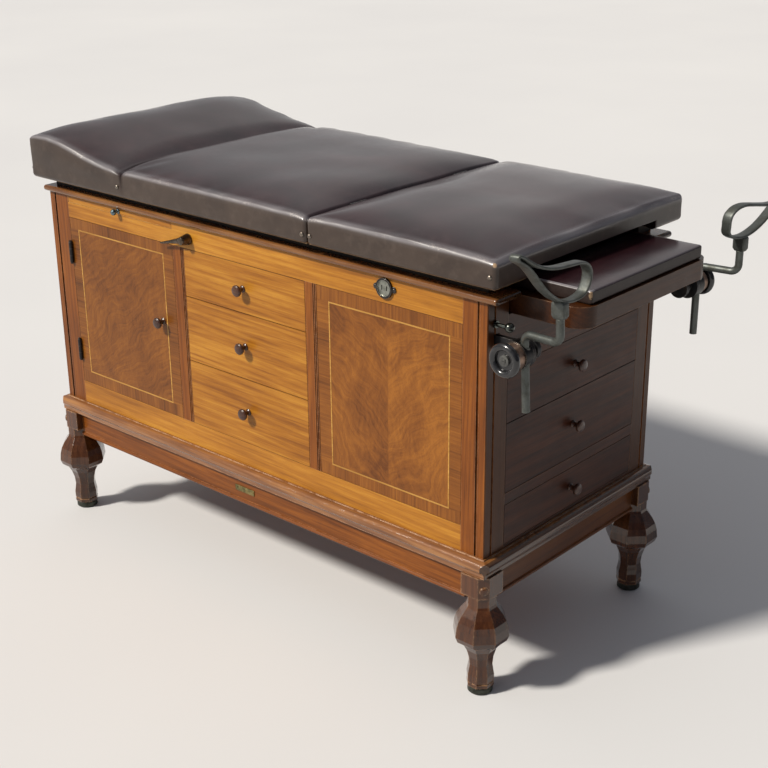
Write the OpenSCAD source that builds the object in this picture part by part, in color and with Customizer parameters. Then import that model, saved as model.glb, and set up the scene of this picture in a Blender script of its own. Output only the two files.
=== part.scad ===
// Wooden medical examination table: a panelled cabinet on four octagonal legs,
// a two-part cushioned top with a raising back, a sliding leg rest and a pair of heel stirrups.

/* [Cabinet] */
// Length of the cabinet box, head end to foot end
carcass_l = 1200; // [1000:10:1400]
// Width of the cabinet box, front to back
carcass_w = 526; // [440:2:620]
// Height of the underside of the apron above the floor
apron_z = 192; // [150:1:260]
// Height of the top of the base moulding, where the cabinet walls start
wall_z = 280; // [240:1:340]
// Height of the top of the cabinet walls, under the crown moulding
crown_z = 758; // [650:1:850]
// Thickness of the face frame members
frame_t = 20; // [16:1:28]

/* [Legs] */
// Side of the square block at the top of each leg
leg_block = 54; // [44:1:70]
// Distance from the cabinet corner in to the leg's axis
leg_inset = 12; // [6:1:25]
// Widest part of the leg across its flats
leg_bulge = 98; // [70:1:120]
// Outer diameter of the foot ferrule
ferrule_d = 47; // [40:1:60]

/* [Cushions] */
// Half of the cushion width
cushion_hw = 290; // [250:1:340]
// Height of the cushion's lower edge
cushion_z = 790; // [700:1:880]
// Height of the seat cushion's side edge
cushion_edge_z = 842; // [760:1:920]
// Position along the table of the joint between back and seat
split_x = 207; // [0:1:300]
// Head end of the back cushion
head_x = -622; // [-700:1:-500]
// Foot end of the seat cushion
foot_x = 634; // [560:1:720]

/* [Leg rest] */
// Front edge of the leg rest as it stands, partly drawn out
rest_x = 748; // [640:1:900]
// Half width of the leg rest frame
rest_hw = 200; // [160:1:230]
// Thickness of the leg rest frame
rest_t = 37; // [24:1:45]
// Radius of the leg rest frame's front corners
rest_r = 35; // [5:1:60]

/* [Stirrups] */
// Diameter of the stirrup rod
rod_d = 14; // [12:0.5:15]
// Forward reach of the rod's crank
crank_reach = 78.3; // [50:0.1:120]
// Outward swing of the crank in degrees
crank_yaw = 8; // [0:1:40]
// Diameter of the clamp's drum
flange_d = 50; // [48:1:64]
// Outer diameter of the clamping handwheel
wheel_d = 60; // [50:1:70]
// How far the front stirrup's clamp stands above its arm's middle
lift_front = 4; // [-8:1:8]
// How far the back stirrup's clamp stands above its arm's middle
lift_back = -8; // [-8:1:8]
// Lean of the front stirrup towards the table in degrees
lean_front = 3; // [0:1:10]
// Downward tip of the back heel loop's outer end in degrees
tip_back = 15; // [0:1:20]
// Turn of the back heel loop towards the foot end in degrees
turn_back = 7; // [0:1:40]

/* [Drawers and door] */
// Gap round each drawer front and round the door
gap = 1; // [0.6:0.1:2]
// Diameter of the turned knobs
knob_d = 23.4; // [18:0.1:32]
// Width of the pale string inlay
string_w = 2.8; // [1.5:0.1:4]

/* [Hidden] */
$fn = 64;
hl = carcass_l/2;
hw = carcass_w/2;
front_y = -hw;
in_y = hw - frame_t;
mould_z = 247;
crown_t = 12;
deck_z = crown_z + crown_t;
apron_t = 22;
mould_out = 17;
clip = 13;
block_out = leg_block/2 - leg_inset;
// front face layout, along the table
door_x0 = -537;
door_x1 = -198.5;
bank_x0 = -166;
bank_x1 = 173.5;
panel_x0 = 202;
panel_x1 = 547;
open_z0 = 330;
open_z1 = 709;
bank_z = [330, 470, 608, 709];
end_z = [[286, 366], [388, 522], [522, 628]];
end_hw = 206;
rail_bot = 723;
front_t = 18;
// door string and panel string, outer edges
door_string = [-509, -229, 357, 685];
panel_string = [233, 520, 354, 682];
panel_y = front_y + 0.4;
door_hinge_x = -536.5;
door_hinge_y = front_y - 4;
door_hinge_z = [384, 608];
// lever and back lock
lever_x = -148;
lever_z = 730;
lever_tilt = 14;
lock_y = 190;
hinge_z = 838;
arc_r = sqrt(pow(split_x - lever_x, 2) + pow(hinge_z - lever_z, 2));
base_t = 16;
// leg rest
rest_z0 = 724;
rest_z1 = rest_z0 + rest_t;
pad_hw = 176;
pad_z1 = 787.3;
pad_len = 395;
rest_len = 520;
notch_hw = 192;
seat_under = 808;
// stirrup
arm_y = -236;
arm_t = 10;
pivot_x = 670;
pivot_z = 683;
rod_x = 683.5;
rod_y = -272;
disc_y0 = -256.4;
disc_y1 = -262.4;
clamp_y0 = -262.7;
collar_y = -283;
clamp_y1 = -299;
bush_d = 17;
crank_z = 721;
bend_r = 15;
rod_bottom = 586;
sock_x = rod_x + crank_reach*cos(crank_yaw);
sock_y = rod_y - crank_reach*sin(crank_yaw);
sock_z0 = 762.2;
sock_z1 = 790;
sock_mid = 776;
// the object's own middle, in plan, with the stirrups as they stand
mid_x = (sock_x + 31.265 - (hl - leg_inset + leg_bulge/2))/2;
mid_y = 12.428;
plunger_y = -243;
plunger_z = 716;

walnut = [0.50, 0.27, 0.12];
honey = [0.66, 0.38, 0.16];
figured = [0.45, 0.23, 0.10];
redwood = [0.34, 0.14, 0.08];
inside = [0.62, 0.45, 0.28];
leather = [0.17, 0.11, 0.12];
steel = [0.42, 0.44, 0.42];
black = [0.08, 0.08, 0.09];
brass = [0.62, 0.48, 0.22];
pale = [0.86, 0.66, 0.36];

// ---- helpers ----
module box(x0, x1, y0, y1, z0, z1) {
  translate([x0, y0, z0]) cube([x1 - x0, y1 - y0, z1 - z0]);
}

// a bar of round section along each axis
module bar_x(x0, x1, y, z, d) {
  translate([x0, y, z]) rotate([0, 90, 0]) cylinder(d = d, h = x1 - x0);
}

module bar_y(x, y0, y1, z, d) {
  translate([x, y0, z]) rotate([-90, 0, 0]) cylinder(d = d, h = y1 - y0);
}

module bar_z(x, y, z0, z1, d) {
  translate([x, y, z0]) cylinder(d = d, h = z1 - z0);
}

// the child and its twin at the back of the table
module both() {
  children();
  mirror([0, 1, 0]) children();
}

module place() {
  translate([-mid_x, -mid_y, 0]) children();
}

module back_side() {
  place() mirror([0, 1, 0]) children();
}

// ---- legs ----
leg_profile = [[14, 46], [15.5, 48], [22, 48], [23.5, 44.5], [25, 48], [39, 48.5],
  [49, 45], [60, 42], [76, 45], [92, 54], [104, 66], [111, 85], [113.5, 90],
  [124, leg_bulge], [141, 95], [154, 88], [166, 76], [177, 60], [181, 54],
  [186, 51], [204, 51]];
flat_to_corner = 1/(2*cos(22.5));

module leg(sx, sy) {
  ax = sx*(hl - leg_inset);
  ay = sy*(hw - leg_inset);
  b = leg_block/2;
  c = 15;
  pts = [for (p = leg_profile) [p[1]*flat_to_corner, p[0]]];
  color(redwood)
  translate([ax, ay, 0])
  mirror([sx < 0 ? 1 : 0, 0, 0])
  mirror([0, sy < 0 ? 1 : 0, 0]) {
    rotate([0, 0, 22.5])
      rotate_extrude($fn = 8)
      polygon(concat([[0, 14]], pts, [[0, 204]]));
    translate([0, 0, 204])
      linear_extrude(mould_z - 204)
      polygon([[-b, -b], [b, -b], [b, b - c], [b - c, b], [-b, b]]);
    // round button over the leg bolt
    rotate([0, 0, 45])
      translate([(b - c/2)*sqrt(2) - 2, 0, 222])
      rotate([0, 90, 0])
      rotate_extrude()
      polygon([[0, 0], [7.5, 0], [7.5, 4], [6.6, 5.3], [4, 6.2], [0, 6.6]]);
  }
}

module ferrules() {
  r = ferrule_d/2;
  color(black)
  for (sx = [-1, 1], sy = [-1, 1])
    translate([sx*(hl - leg_inset), sy*(hw - leg_inset), 0])
    rotate_extrude()
    polygon([[0, 0], [r - 2.5, 0], [r, 2.5], [r, 11], [r - 1, 14], [0, 14]]);
}

// ---- base ----
module apron() {
  x = hl - leg_inset - leg_block/2;
  y = hw - leg_inset - leg_block/2;
  color(redwood) {
    both() {
      box(-x, x, -hw, -hw + apron_t, apron_z, mould_z);
      bar_x(-x, x, -hw, apron_z + 2, 8);
    }
    for (s = [-1, 1]) {
      box(s > 0 ? hl - apron_t : -hl, s > 0 ? hl : -hl + apron_t, -y, y, apron_z, mould_z);
      bar_y(s*hl, -y, y, apron_z + 2, 8);
    }
  }
}

// outline of the base moulding, outwards from the cabinet face
mould_cove = [for (a = [0:15:90]) [16.5 - 5*cos(a), 251 + 10*sin(a)]];
mould_ovolo = [for (a = [0:15:90]) [4 + 13*cos(a), 268 + 10*sin(a)]];
mould_line = concat([[-apron_t, mould_z], [11.5, mould_z]], mould_cove, [[17, 262]],
  mould_ovolo, [[3, 278], [3, wall_z], [-apron_t, wall_z]]);

// one length of moulding, its cabinet face on y = 0 and its nose towards -y
module mould_length(half) {
  rotate([90, 0, 90])
    translate([0, 0, -half])
    linear_extrude(2*half)
    polygon([for (p = mould_line) [-p[0], p[1]]]);
}

module base_moulding() {
  color(redwood)
  difference() {
    intersection() {
      // long and short sides together, square at the corners
      union() {
        for (a = [0, 180])
          rotate([0, 0, a]) mould_cross(hw, hl + mould_out);
        for (a = [90, 270])
          rotate([0, 0, a]) mould_cross(hl, hw + mould_out);
      }
      translate([0, 0, mould_z - 1])
        linear_extrude(wall_z - mould_z + 2)
        clipped_outline(mould_out, clip);
    }
    box(-hl + apron_t, hl - apron_t, -hw + apron_t, hw - apron_t, mould_z - 1, wall_z + 1);
  }
}

// a side of moulding, mitred at 45 degrees at both ends
module mould_cross(depth, half) {
  intersection() {
    translate([0, -depth, 0]) mould_length(half + 1);
    translate([0, 0, mould_z - 1])
      linear_extrude(wall_z - mould_z + 2)
      polygon([[-half, -depth - mould_out], [half, -depth - mould_out],
        [half - 100, -depth - mould_out + 100], [-half + 100, -depth - mould_out + 100]]);
  }
}

// plan of the cabinet grown by g, its corners clipped by c
module clipped_outline(g, c) {
  x = hl + g;
  y = hw + g;
  polygon([[-x + c, -y], [x - c, -y], [x, -y + c], [x, y - c],
    [x - c, y], [-x + c, y], [-x, y - c], [-x, -y + c]]);
}

// ---- cabinet frame ----
// angle-section corner post: w along the table, d across, outer corner at the origin
module post_section(w, d) {
  difference() {
    polygon([[0, 1.5], [1.5, 0], [w, 0], [w, frame_t], [frame_t, frame_t], [frame_t, d], [0, d]]);
    translate([17, -1]) square([5, 4]);
    translate([-1, 17]) square([4, 5]);
  }
}

module post(sx, sy, w) {
  translate([sx*hl, sy*hw, wall_z])
    mirror([sx > 0 ? 1 : 0, 0, 0])
    mirror([0, sy > 0 ? 1 : 0, 0])
    linear_extrude(crown_z - wall_z)
    post_section(w, hw - end_hw);
}

// upright of the face frame, with a double reed along its right edge
module stile(x0, x1) {
  difference() {
    box(x0, x1, front_y, -in_y, open_z0, open_z1);
    box(x1 - 8.4, x1 - 6.2, front_y - 1, front_y + 2, open_z0 - 1, open_z1 + 1);
    box(x1 - 4.2, x1 - 2, front_y - 1, front_y + 2, open_z0 - 1, open_z1 + 1);
  }
}

module posts() {
  color(walnut)
  difference() {
    union() {
      post(-1, -1, hl + door_x0);
      post(-1, 1, hl + door_x0);
      post(1, -1, hl - panel_x1);
      post(1, 1, hl - panel_x1);
      stile(door_x1, bank_x0);
      stile(bank_x1, panel_x0);
    }
    both() {
      // passage for the stirrup arm and for its lock plunger
      box(hl - frame_t - 1, hl + 1, arm_y - arm_t/2 - 1, arm_y + arm_t/2 + 1, 669, 697);
      bar_x(panel_x1 - 1, hl + 1, plunger_y, plunger_z, 7.6);
    }
    // seats of the door's hinge leaves
    for (z = door_hinge_z)
      box(door_x0 - 1.5, door_x0 + 1, door_hinge_y - 3, front_y + 17, z, z + 46);
  }
}

module rails() {
  color(honey) {
    difference() {
      box(door_x0, panel_x1, front_y, -in_y, open_z1, crown_z);
      box(door_x0 + 2, door_x1 + 0.5, front_y - 1, -in_y + 1, 741.5, crown_z + 1);
      bar_y(lever_x, front_y - 1, -in_y + 1, lever_z, 10.2);
      bar_y(373, front_y - 1, -in_y + 1, 737, 28);
    }
    box(door_x0, panel_x1, front_y, -in_y, wall_z, open_z0);
    box(hl - frame_t, hl, -end_hw, end_hw, 628, rail_bot);
    box(hl - frame_t, hl, -end_hw, end_hw, 366, 388);
    box(hl - frame_t, hl, -end_hw, end_hw, wall_z, 286);
  }
}

// a rectangular string let into a face; deep is how far it goes in
module string_frame(s, w, y0, y1) {
  difference() {
    box(s[0], s[1], y0, y1, s[2], s[3]);
    box(s[0] + w, s[1] - w, y0 - 1, y1 + 1, s[2] + w, s[3] - w);
  }
}

module front_panel() {
  color(figured)
  difference() {
    box(panel_x0 + gap, panel_x1 - gap, panel_y, panel_y + 16, open_z0 + gap, open_z1 - gap);
    string_frame(panel_string, string_w, panel_y - 1, panel_y + 1);
  }
}

module panel_string_inlay() {
  color(pale) string_frame(panel_string, string_w, panel_y - 0.2, panel_y + 1);
}

module carcass_panels() {
  color(walnut) {
    box(-hl + 2, -hl + 18, -end_hw, end_hw, wall_z, crown_z);
    box(door_x0, panel_x1, hw - 17, hw - 1, wall_z, crown_z);
    box(-hl + apron_t, hl - apron_t, -hw + apron_t, hw - apron_t, wall_z - 16, wall_z);
  }
}

bank_box_z = [[337, 455], [477, 595], [615, 697]];
end_box_z = [[293, 350], [395, 508], [529, 614]];

module dividers() {
  color(inside) {
    // uprights between the cupboard, the drawer bank and the end drawers
    box(-190, -174, -in_y, hw - 17, wall_z, 727);
    box(178, 194, -in_y, hw - 17, wall_z, open_z1);
    // cupboard shelf and the dust board that carries the pull-out slide
    box(-580, -190, -225, in_y, 505, 519);
    box(-580, -174, -in_y, in_y, 727, 741.5);
    // runners of the drawer bank
    for (b = bank_box_z) {
      box(-174, -150, -in_y, 150, b[0] - 12, b[0] - 0.5);
      box(-174, -159, -in_y, 150, b[0] - 1, b[0] + 20);
      box(158, 178, -in_y, 150, b[0] - 12, b[0] - 0.5);
      box(167, 178, -in_y, 150, b[0] - 1, b[0] + 20);
    }
    // runners of the end drawers
    both()
      for (b = end_box_z) {
        box(194, 580, -214, -187, b[0] - 12, b[0] - 0.5);
        box(194, 580, -214, -196.5, b[0] - 1, b[0] + 20);
      }
  }
}

module slide_guides() {
  color(inside) {
    both() {
      // ledge, fence and keeper of the leg rest
      box(178, 580, -206, -186, open_z1, rest_z0 - 0.3);
      box(178, 580, -206, -rest_hw - 0.5, rest_z0 - 1, 745);
      box(split_x, 579, -215, -180, rest_z1 + 1, deck_z);
      // channel of the stirrup arm
      difference() {
        union() {
          box(450, panel_x1, -hw + 17, -226, 664, 702);
          box(panel_x1 - 1, 580, -in_y, -226, 664, 702);
        }
        box(449, 581, arm_y - arm_t/2 - 0.3, arm_y + arm_t/2 + 0.3, 670.5, 695.5);
      }
    }
    // bearing of the lever's shaft, beside the back lock arc
    difference() {
      box(lever_x - 14, lever_x + 14, 150, lock_y - 3, 716, deck_z);
      bar_y(lever_x, 149, lock_y, lever_z, 10.2);
    }
  }
}

// nosed strip along x, its outer edge on y
module crown_strip_x(x0, x1, y_in, y_out) {
  s = y_out > y_in ? 1 : -1;
  box(x0, x1, min(y_in, y_out - s*6), max(y_in, y_out - s*6), crown_z, deck_z);
  bar_x(x0, x1, y_out - s*6, crown_z + crown_t/2, crown_t);
}

module crown_moulding() {
  o = 10;
  f = 25;
  color(redwood) {
    for (s = [-1, 1])
      crown_strip_x(-hl - 4, hl + f - 6, s*in_y, s*(hw + o));
    // head end
    box(-hl - 4, -hl + frame_t, -hw - 4, hw + 4, crown_z, deck_z);
    bar_y(-hl - 4, -hw - 4, hw + 4, crown_z + crown_t/2, crown_t);
    // two returns at the foot end, either side of the leg rest
    both() {
      box(hl - frame_t, hl + f - 6, -hw - 4, -end_hw, crown_z, deck_z);
      bar_y(hl + f - 6, -hw - 4, -end_hw, crown_z + crown_t/2, crown_t);
      for (x = [-hl - 4, hl + f - 6])
        translate([x, -hw - 4, crown_z + crown_t/2]) sphere(d = crown_t);
    }
  }
}

module deck() {
  color(black)
  difference() {
    union() {
      box(-590, 200, -250, 250, deck_z, cushion_z);
      both() box(199, 590, -250, -206, deck_z, cushion_z);
    }
    // slot that the back lock arc rises through
    box(-195, -125, 172, 204, deck_z - 1, cushion_z + 1);
  }
}

module blank_plate() {
  color(brass) {
    box(-45.5, 9.5, -hw - 1.5, -hw, 215, 227);
    for (x = [-42, 6]) bar_y(x, -hw - 2.3, -hw - 1, 221, 4);
  }
}

module outlet() {
  color(steel)
  translate([373, -hw, 737])
  difference() {
    union() {
      bar_y(0, -5, 0, 0, 37);
      bar_y(0, -0.5, 24, 0, 27.8);
      box(-20, 20, -2.4, 0, -5, 5);
      for (s = [-1, 1]) bar_y(s*20.5, -2.4, 0, 0, 11);
      for (s = [-1, 1]) bar_y(s*21.5, -3.5, -1, 0, 5);
    }
    bar_y(0, -6, -3, 0, 29);
    for (s = [-1, 1]) box(s*5.5 - 1.1, s*5.5 + 1.1, -6, 12, -4.5, 4.5);
  }
}

// ---- door ----
module door() {
  color(figured)
  difference() {
    box(door_x0 + gap, door_x1 - gap, front_y, front_y + front_t, open_z0 + gap, open_z1 - gap);
    string_frame(door_string, string_w, front_y - 1, front_y + 1);
    for (z = door_hinge_z)
      box(door_x0, door_x0 + gap + 1.5, front_y - 1, front_y + 17, z - 0.5, z + 46.5);
  }
}

module door_string_inlay() {
  color(pale) string_frame(door_string, string_w, front_y - 0.2, front_y + 1);
}

// turned knob with its foot on the origin, standing out along -y
knob_line = [[0, 0], [7.2, 0], [7.2, 1.6], [5.2, 3.4], [4.6, 6], [4.8, 9.5], [6.4, 12],
  [10.6, 13.8], [11.7, 16], [11.4, 18.6], [9.4, 20.6], [5.2, 21.7], [0, 22]];

module knob_at(x, y, z, turn) {
  k = knob_d/23.4;
  color(redwood)
  translate([x, y, z])
  rotate([0, 0, turn])
  rotate([90, 0, 0])
  rotate_extrude()
  polygon([for (p = knob_line) [p[0]*k, p[1]]]);
}

// fixed and moving halves of the two butt hinges
module door_hinge_fixed() {
  color(black)
  for (z = door_hinge_z) {
    box(door_x0 - 1.5, door_x0, front_y + 0.4, front_y + 17, z, z + 46);
    for (k = [[0, 15], [31, 46]]) {
      bar_z(door_hinge_x, door_hinge_y, z + k[0], z + k[1], 8);
      box(door_x0 - 1.5, door_x0, door_hinge_y, front_y + 1, z + k[0], z + k[1]);
    }
    bar_z(door_hinge_x, door_hinge_y, z - 2, z + 48, 3.4);
    for (e = [-3, 46]) bar_z(door_hinge_x, door_hinge_y, z + e, z + e + 3, 5.6);
  }
}

module door_hinge_leaf() {
  color(black)
  for (z = door_hinge_z)
    difference() {
      union() {
        box(door_x0 + gap - 0.5, door_x0 + gap + 1.5, front_y + 0.8, front_y + 16.5, z, z + 46);
        box(door_x0 + gap - 0.5, door_x0 + gap + 1.5, door_hinge_y, front_y + 1.5, z + 15.3, z + 30.7);
        bar_z(door_hinge_x, door_hinge_y, z + 15.3, z + 30.7, 8);
      }
      bar_z(door_hinge_x, door_hinge_y, z - 1, z + 47, 3.5);
    }
}

// ---- drawers ----
// drawer of the front bank; i counts from the bottom
module bank_drawer(i) {
  z0 = bank_z[i] + gap;
  z1 = bank_z[i + 1] - (i == 2 ? gap : 0.5);
  b0 = bank_box_z[i][0];
  b1 = bank_box_z[i][1];
  color(honey) {
    box(bank_x0 + gap, bank_x1 - gap, front_y, front_y + front_t, z0, z1);
    difference() {
      box(-158, 166, front_y + front_t - 1, 148, b0, b1);
      box(-149, 157, front_y + front_t, 139, b0 + 7, b1 + 1);
    }
  }
}

// drawer of the foot end; i counts from the bottom
module end_drawer(i) {
  z0 = end_z[i][0] + gap;
  z1 = end_z[i][1] - (i == 1 ? 0.5 : gap);
  b0 = end_box_z[i][0];
  b1 = end_box_z[i][1];
  color(walnut) {
    box(hl - front_t, hl, -end_hw + gap, end_hw - gap, z0, z1);
    difference() {
      box(215, hl - front_t + 1, -195, 195, b0, b1);
      box(224, hl - front_t, -186, 186, b0 + 7, b1 + 1);
    }
  }
}

// ---- pull-out slide ----
module slide_board() {
  color(honey) box(-534, -199, front_y, 170, 742, 757.5);
}

module slide_knob() {
  color(steel)
  translate([-366, front_y, 749.8])
  rotate([90, 0, 0])
  rotate_extrude()
  polygon([[0, 0], [5.5, 0], [5.5, 1.5], [3, 3], [2.8, 6.4], [4.6, 7.6], [6.3, 10], [6.6, 12.2],
    [5.9, 14.8], [4, 16.9], [2, 17.9], [0, 18.2]]);
}

// ---- lever and back lock ----
module lever() {
  color(black) {
    bar_y(lever_x, front_y - 22, lock_y + 12, lever_z, 10);
    translate([lever_x, front_y - 0.4, lever_z])
      rotate([90, 0, 0])
      rotate_extrude()
      polygon([[0, 0], [11.5, 0], [11.8, 2.5], [11, 5], [8.6, 18], [7.5, 21], [4, 22.6], [0, 23]]);
    // tapered handle
    translate([lever_x, front_y - 12.5, lever_z])
      rotate([0, -90 - lever_tilt, 0])
      rotate_extrude()
      polygon([[0, 3], [6.2, 3], [6.4, 14], [5.2, 24], [3.6, 44], [2.4, 62], [1.7, 72],
        [1, 75.4], [0, 76]]);
    // clamping collar behind the lock arc
    bar_y(lever_x, lock_y + 3.3, lock_y + 9.5, lever_z, 24);
  }
}

module arc_ring(r0, r1, y0, y1) {
  difference() {
    bar_y(split_x, y0, y1, hinge_z, 2*r1);
    bar_y(split_x, y0 - 1, y1 + 1, hinge_z, 2*r0);
  }
}

// wedge of the plane below the hinge, from a0 to a1 degrees under the head direction
module wedge(a0, a1, y0, y1) {
  m = (a0 + a1)/2;
  translate([split_x, y1, hinge_z])
    rotate([90, 0, 0])
    linear_extrude(y1 - y0)
    polygon([[0, 0], 600*[-cos(a0), -sin(a0)], 600*[-cos(m), -sin(m)], 600*[-cos(a1), -sin(a1)]]);
}

module back_ironwork() {
  y0 = lock_y - 2.5;
  y1 = lock_y + 2.5;
  color(steel) {
    difference() {
      intersection() {
        arc_ring(arc_r - 12, arc_r + 12, y0, y1);
        wedge(5, 83, y0, y1);
        box(-400, 400, y0, y1, 300, cushion_z);
      }
      intersection() {
        arc_ring(arc_r - 5.4, arc_r + 5.4, y0 - 1, y1 + 1);
        wedge(14.8, 80, y0 - 1, y1 + 1);
      }
    }
    box(-190, -130, lock_y - 12, lock_y + 12, cushion_z - 4, cushion_z);
    // moving leaves of the two back hinges
    for (y = [-150, 150])
      difference() {
        union() {
          box(split_x - 3.5, split_x - 1, y - 20, y + 20, cushion_z + 2, hinge_z - 6);
          box(split_x - 3.5, split_x - 1, y - 6.7, y + 6.7, hinge_z - 7, hinge_z);
          bar_y(split_x, y - 6.7, y + 6.7, hinge_z, 8);
        }
        bar_y(split_x, y - 8, y + 8, hinge_z, 4.1);
      }
  }
}

module seat_hinge() {
  color(steel)
  for (y = [-150, 150]) {
    box(split_x + 1, split_x + 3.5, y - 20, y + 20, cushion_z + 2, hinge_z - 6);
    for (k = [[-20, -7], [7, 20]]) {
      box(split_x + 1, split_x + 3.5, y + k[0], y + k[1], hinge_z - 7, hinge_z);
      bar_y(split_x, y + k[0], y + k[1], hinge_z, 8);
    }
    bar_y(split_x, y - 21, y + 21, hinge_z, 4);
  }
}

// ---- bases and cushions ----
module hinge_pockets() {
  for (y = [-150, 150])
    box(split_x - 8, split_x + 8, y - 24, y + 24, cushion_z - 1, 860);
}

module back_base() {
  color(inside)
    box(head_x + 6, split_x - 3.5, -284, 284, cushion_z, cushion_z + base_t);
}

module seat_base() {
  color(inside) {
    box(split_x + 3.5, foot_x - 6, -284, 284, seat_under, seat_under + 10);
    both() box(split_x + 3.5, foot_x - 6, -284, -rest_hw, cushion_z, seat_under);
  }
}

// crowned cross-section of a cushion at x: edge and ridge heights
module slice(x, edge, ridge, z0, w) {
  d = ridge - edge;
  translate([x - 0.05, 0, 0])
    rotate([90, 0, 90])
    linear_extrude(0.1)
    polygon([[-w, z0], [-w, edge - 8], [-w + 4, edge], [-w + 40, edge + 0.5*d],
      [-w + 120, edge + 0.86*d], [0, ridge], [w - 120, edge + 0.86*d], [w - 40, edge + 0.5*d],
      [w - 4, edge], [w, edge - 8], [w, z0]]);
}

module back_cushion() {
  w = cushion_hw;
  e = cushion_edge_z;
  color(leather)
  difference() {
    union() {
      hull() {
        slice(split_x - 0.6, e - 4.5, e - 3.5, cushion_z, w);
        slice(split_x - 20, e, e + 10, cushion_z, w);
        slice(split_x - 90, e + 1, e + 18, cushion_z, w);
        slice(-332, e + 4, e + 16, cushion_z, w);
      }
      hull() {
        slice(-330, e + 4, e + 16, cushion_z, w);
        slice(-470, e + 24, e + 42, cushion_z, w);
        slice(-596, e + 41, e + 58, cushion_z, w);
        slice(head_x + 0.1, e + 34, e + 40, cushion_z, w);
      }
    }
    box(head_x + 6, split_x - 3.5, -284, 284, cushion_z - 1, cushion_z + base_t);
    hinge_pockets();
  }
}

module seat_cushion() {
  w = cushion_hw;
  e = cushion_edge_z;
  color(leather)
  difference() {
    hull() {
      slice(split_x + 0.6, e - 4.5, e - 3.5, cushion_z, w);
      slice(split_x + 20, e, e + 10, cushion_z, w);
      slice(split_x + 100, e, e + 19, cushion_z, w);
      slice(foot_x - 100, e - 1, e + 18, cushion_z, w);
      slice(foot_x - 24, e - 2, e + 8, cushion_z, w);
      slice(foot_x - 0.1, e - 4, e - 3, cushion_z, w);
    }
    // the base's place, the leg rest's way and the notch at the foot end
    box(split_x + 3.5, foot_x - 6, -284, 284, cushion_z - 1, seat_under + 10);
    box(foot_x - 7, foot_x + 1, -notch_hw, notch_hw, cushion_z - 1, seat_under);
    hinge_pockets();
  }
}

// ---- leg rest ----
module rest_plan(r) {
  x0 = rest_x - rest_len;
  union() {
    translate([x0, -rest_hw]) square([rest_len - r, 2*rest_hw]);
    translate([x0, -rest_hw + r]) square([rest_len, 2*(rest_hw - r)]);
    for (s = [-1, 1]) translate([rest_x - r, s*(rest_hw - r)]) circle(r = r);
  }
}

module leg_rest_frame() {
  color(honey)
  difference() {
    translate([0, 0, rest_z0]) linear_extrude(rest_t) rest_plan(rest_r);
    // hollow underside between the frame rails
    box(rest_x - rest_len + 40, rest_x - 45, -155, 155, rest_z0 - 1, rest_z1 - 8);
  }
}

module leg_rest_pad() {
  x1 = rest_x - 5;
  color(leather)
  hull() {
    box(x1 - pad_len, x1, -pad_hw, pad_hw, rest_z1, pad_z1 - 6);
    box(x1 - pad_len + 5, x1 - 5, -pad_hw + 5, pad_hw - 5, pad_z1 - 7, pad_z1);
  }
}

// ---- stirrup, drawn for the front side of the table ----
// a stirrup's clamp and all it carries, raised by lift and leaning towards the table
module set_at(lift, lean) {
  translate([pivot_x, 0, pivot_z + lift])
    rotate([0, -lean, 0])
    translate([-pivot_x, 0, -pivot_z])
    children();
}

module arm(lift) {
  y0 = arm_y - arm_t/2;
  y1 = arm_y + arm_t/2;
  z = pivot_z + lift;
  r = 19;
  steps = [0, 0.25, 0.5, 0.75, 1];
  flare_l = pivot_x - 632;
  color(black) {
    box(420, 632, y0, y1, 671, 695);
    // end flared in two arches
    translate([0, y1, 0])
      rotate([90, 0, 0])
      linear_extrude(arm_t)
      polygon(concat(
        [for (t = steps) [630 + flare_l*t, 695 + (z + r - 695)*t*t]],
        [for (t = steps) [630 + flare_l*(1 - t), 671 + (z - r - 671)*(1 - t)*(1 - t)]]));
    bar_y(pivot_x - 2, y0, y1, z, 2*r);
    // neck, disc and pivot stub
    bar_y(pivot_x, disc_y0 - 1, y1 - 1, z, 22);
    bar_y(pivot_x, disc_y1, disc_y0, z, flange_d);
    bar_y(pivot_x, disc_y1 - 3.6, disc_y1 + 1, z, 10);
  }
}

module clamp() {
  color(steel)
  difference() {
    union() {
      bar_y(pivot_x, collar_y, clamp_y0, pivot_z, flange_d);
      bar_y(pivot_x, clamp_y1 + 1.5, collar_y + 1, pivot_z, flange_d - 4);
      bar_y(pivot_x, clamp_y1, clamp_y1 + 2, pivot_z, flange_d - 8);
    }
    bar_y(pivot_x, disc_y1 - 4, clamp_y0 + 1, pivot_z, 10.1);
    bar_z(rod_x, rod_y, pivot_z - 40, pivot_z + 40, bush_d + 0.1);
    bar_y(pivot_x, clamp_y1 - 1, -266, pivot_z, 7.5);
  }
}

module bush() {
  color(steel)
  difference() {
    bar_z(rod_x, rod_y, pivot_z - 14, pivot_z + 14, bush_d);
    bar_z(rod_x, rod_y, pivot_z - 15, pivot_z + 15, rod_d + 0.1);
  }
}

module wheel() {
  rim = 6.5;
  big = wheel_d/2 - rim;
  y = clamp_y1 - 10;
  color(black) {
    bar_y(pivot_x, y, -267, pivot_z, 7.4);
    bar_y(pivot_x, y + 2, clamp_y1 - 0.5, pivot_z, 26);
    bar_y(pivot_x, y + 1, y + 5, pivot_z, 2*big);
    difference() {
      union() {
        bar_y(pivot_x, y - 2.5, y + 2, pivot_z, 19);
        bar_y(pivot_x, y - 4, y - 2, pivot_z, 8);
      }
      box(pivot_x - 5, pivot_x + 5, y - 5, y - 3, pivot_z - 0.7, pivot_z + 0.7);
    }
    translate([pivot_x, y, pivot_z])
      rotate([90, 0, 0])
      rotate_extrude()
      translate([big, 0]) circle(r = rim);
  }
}

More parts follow.
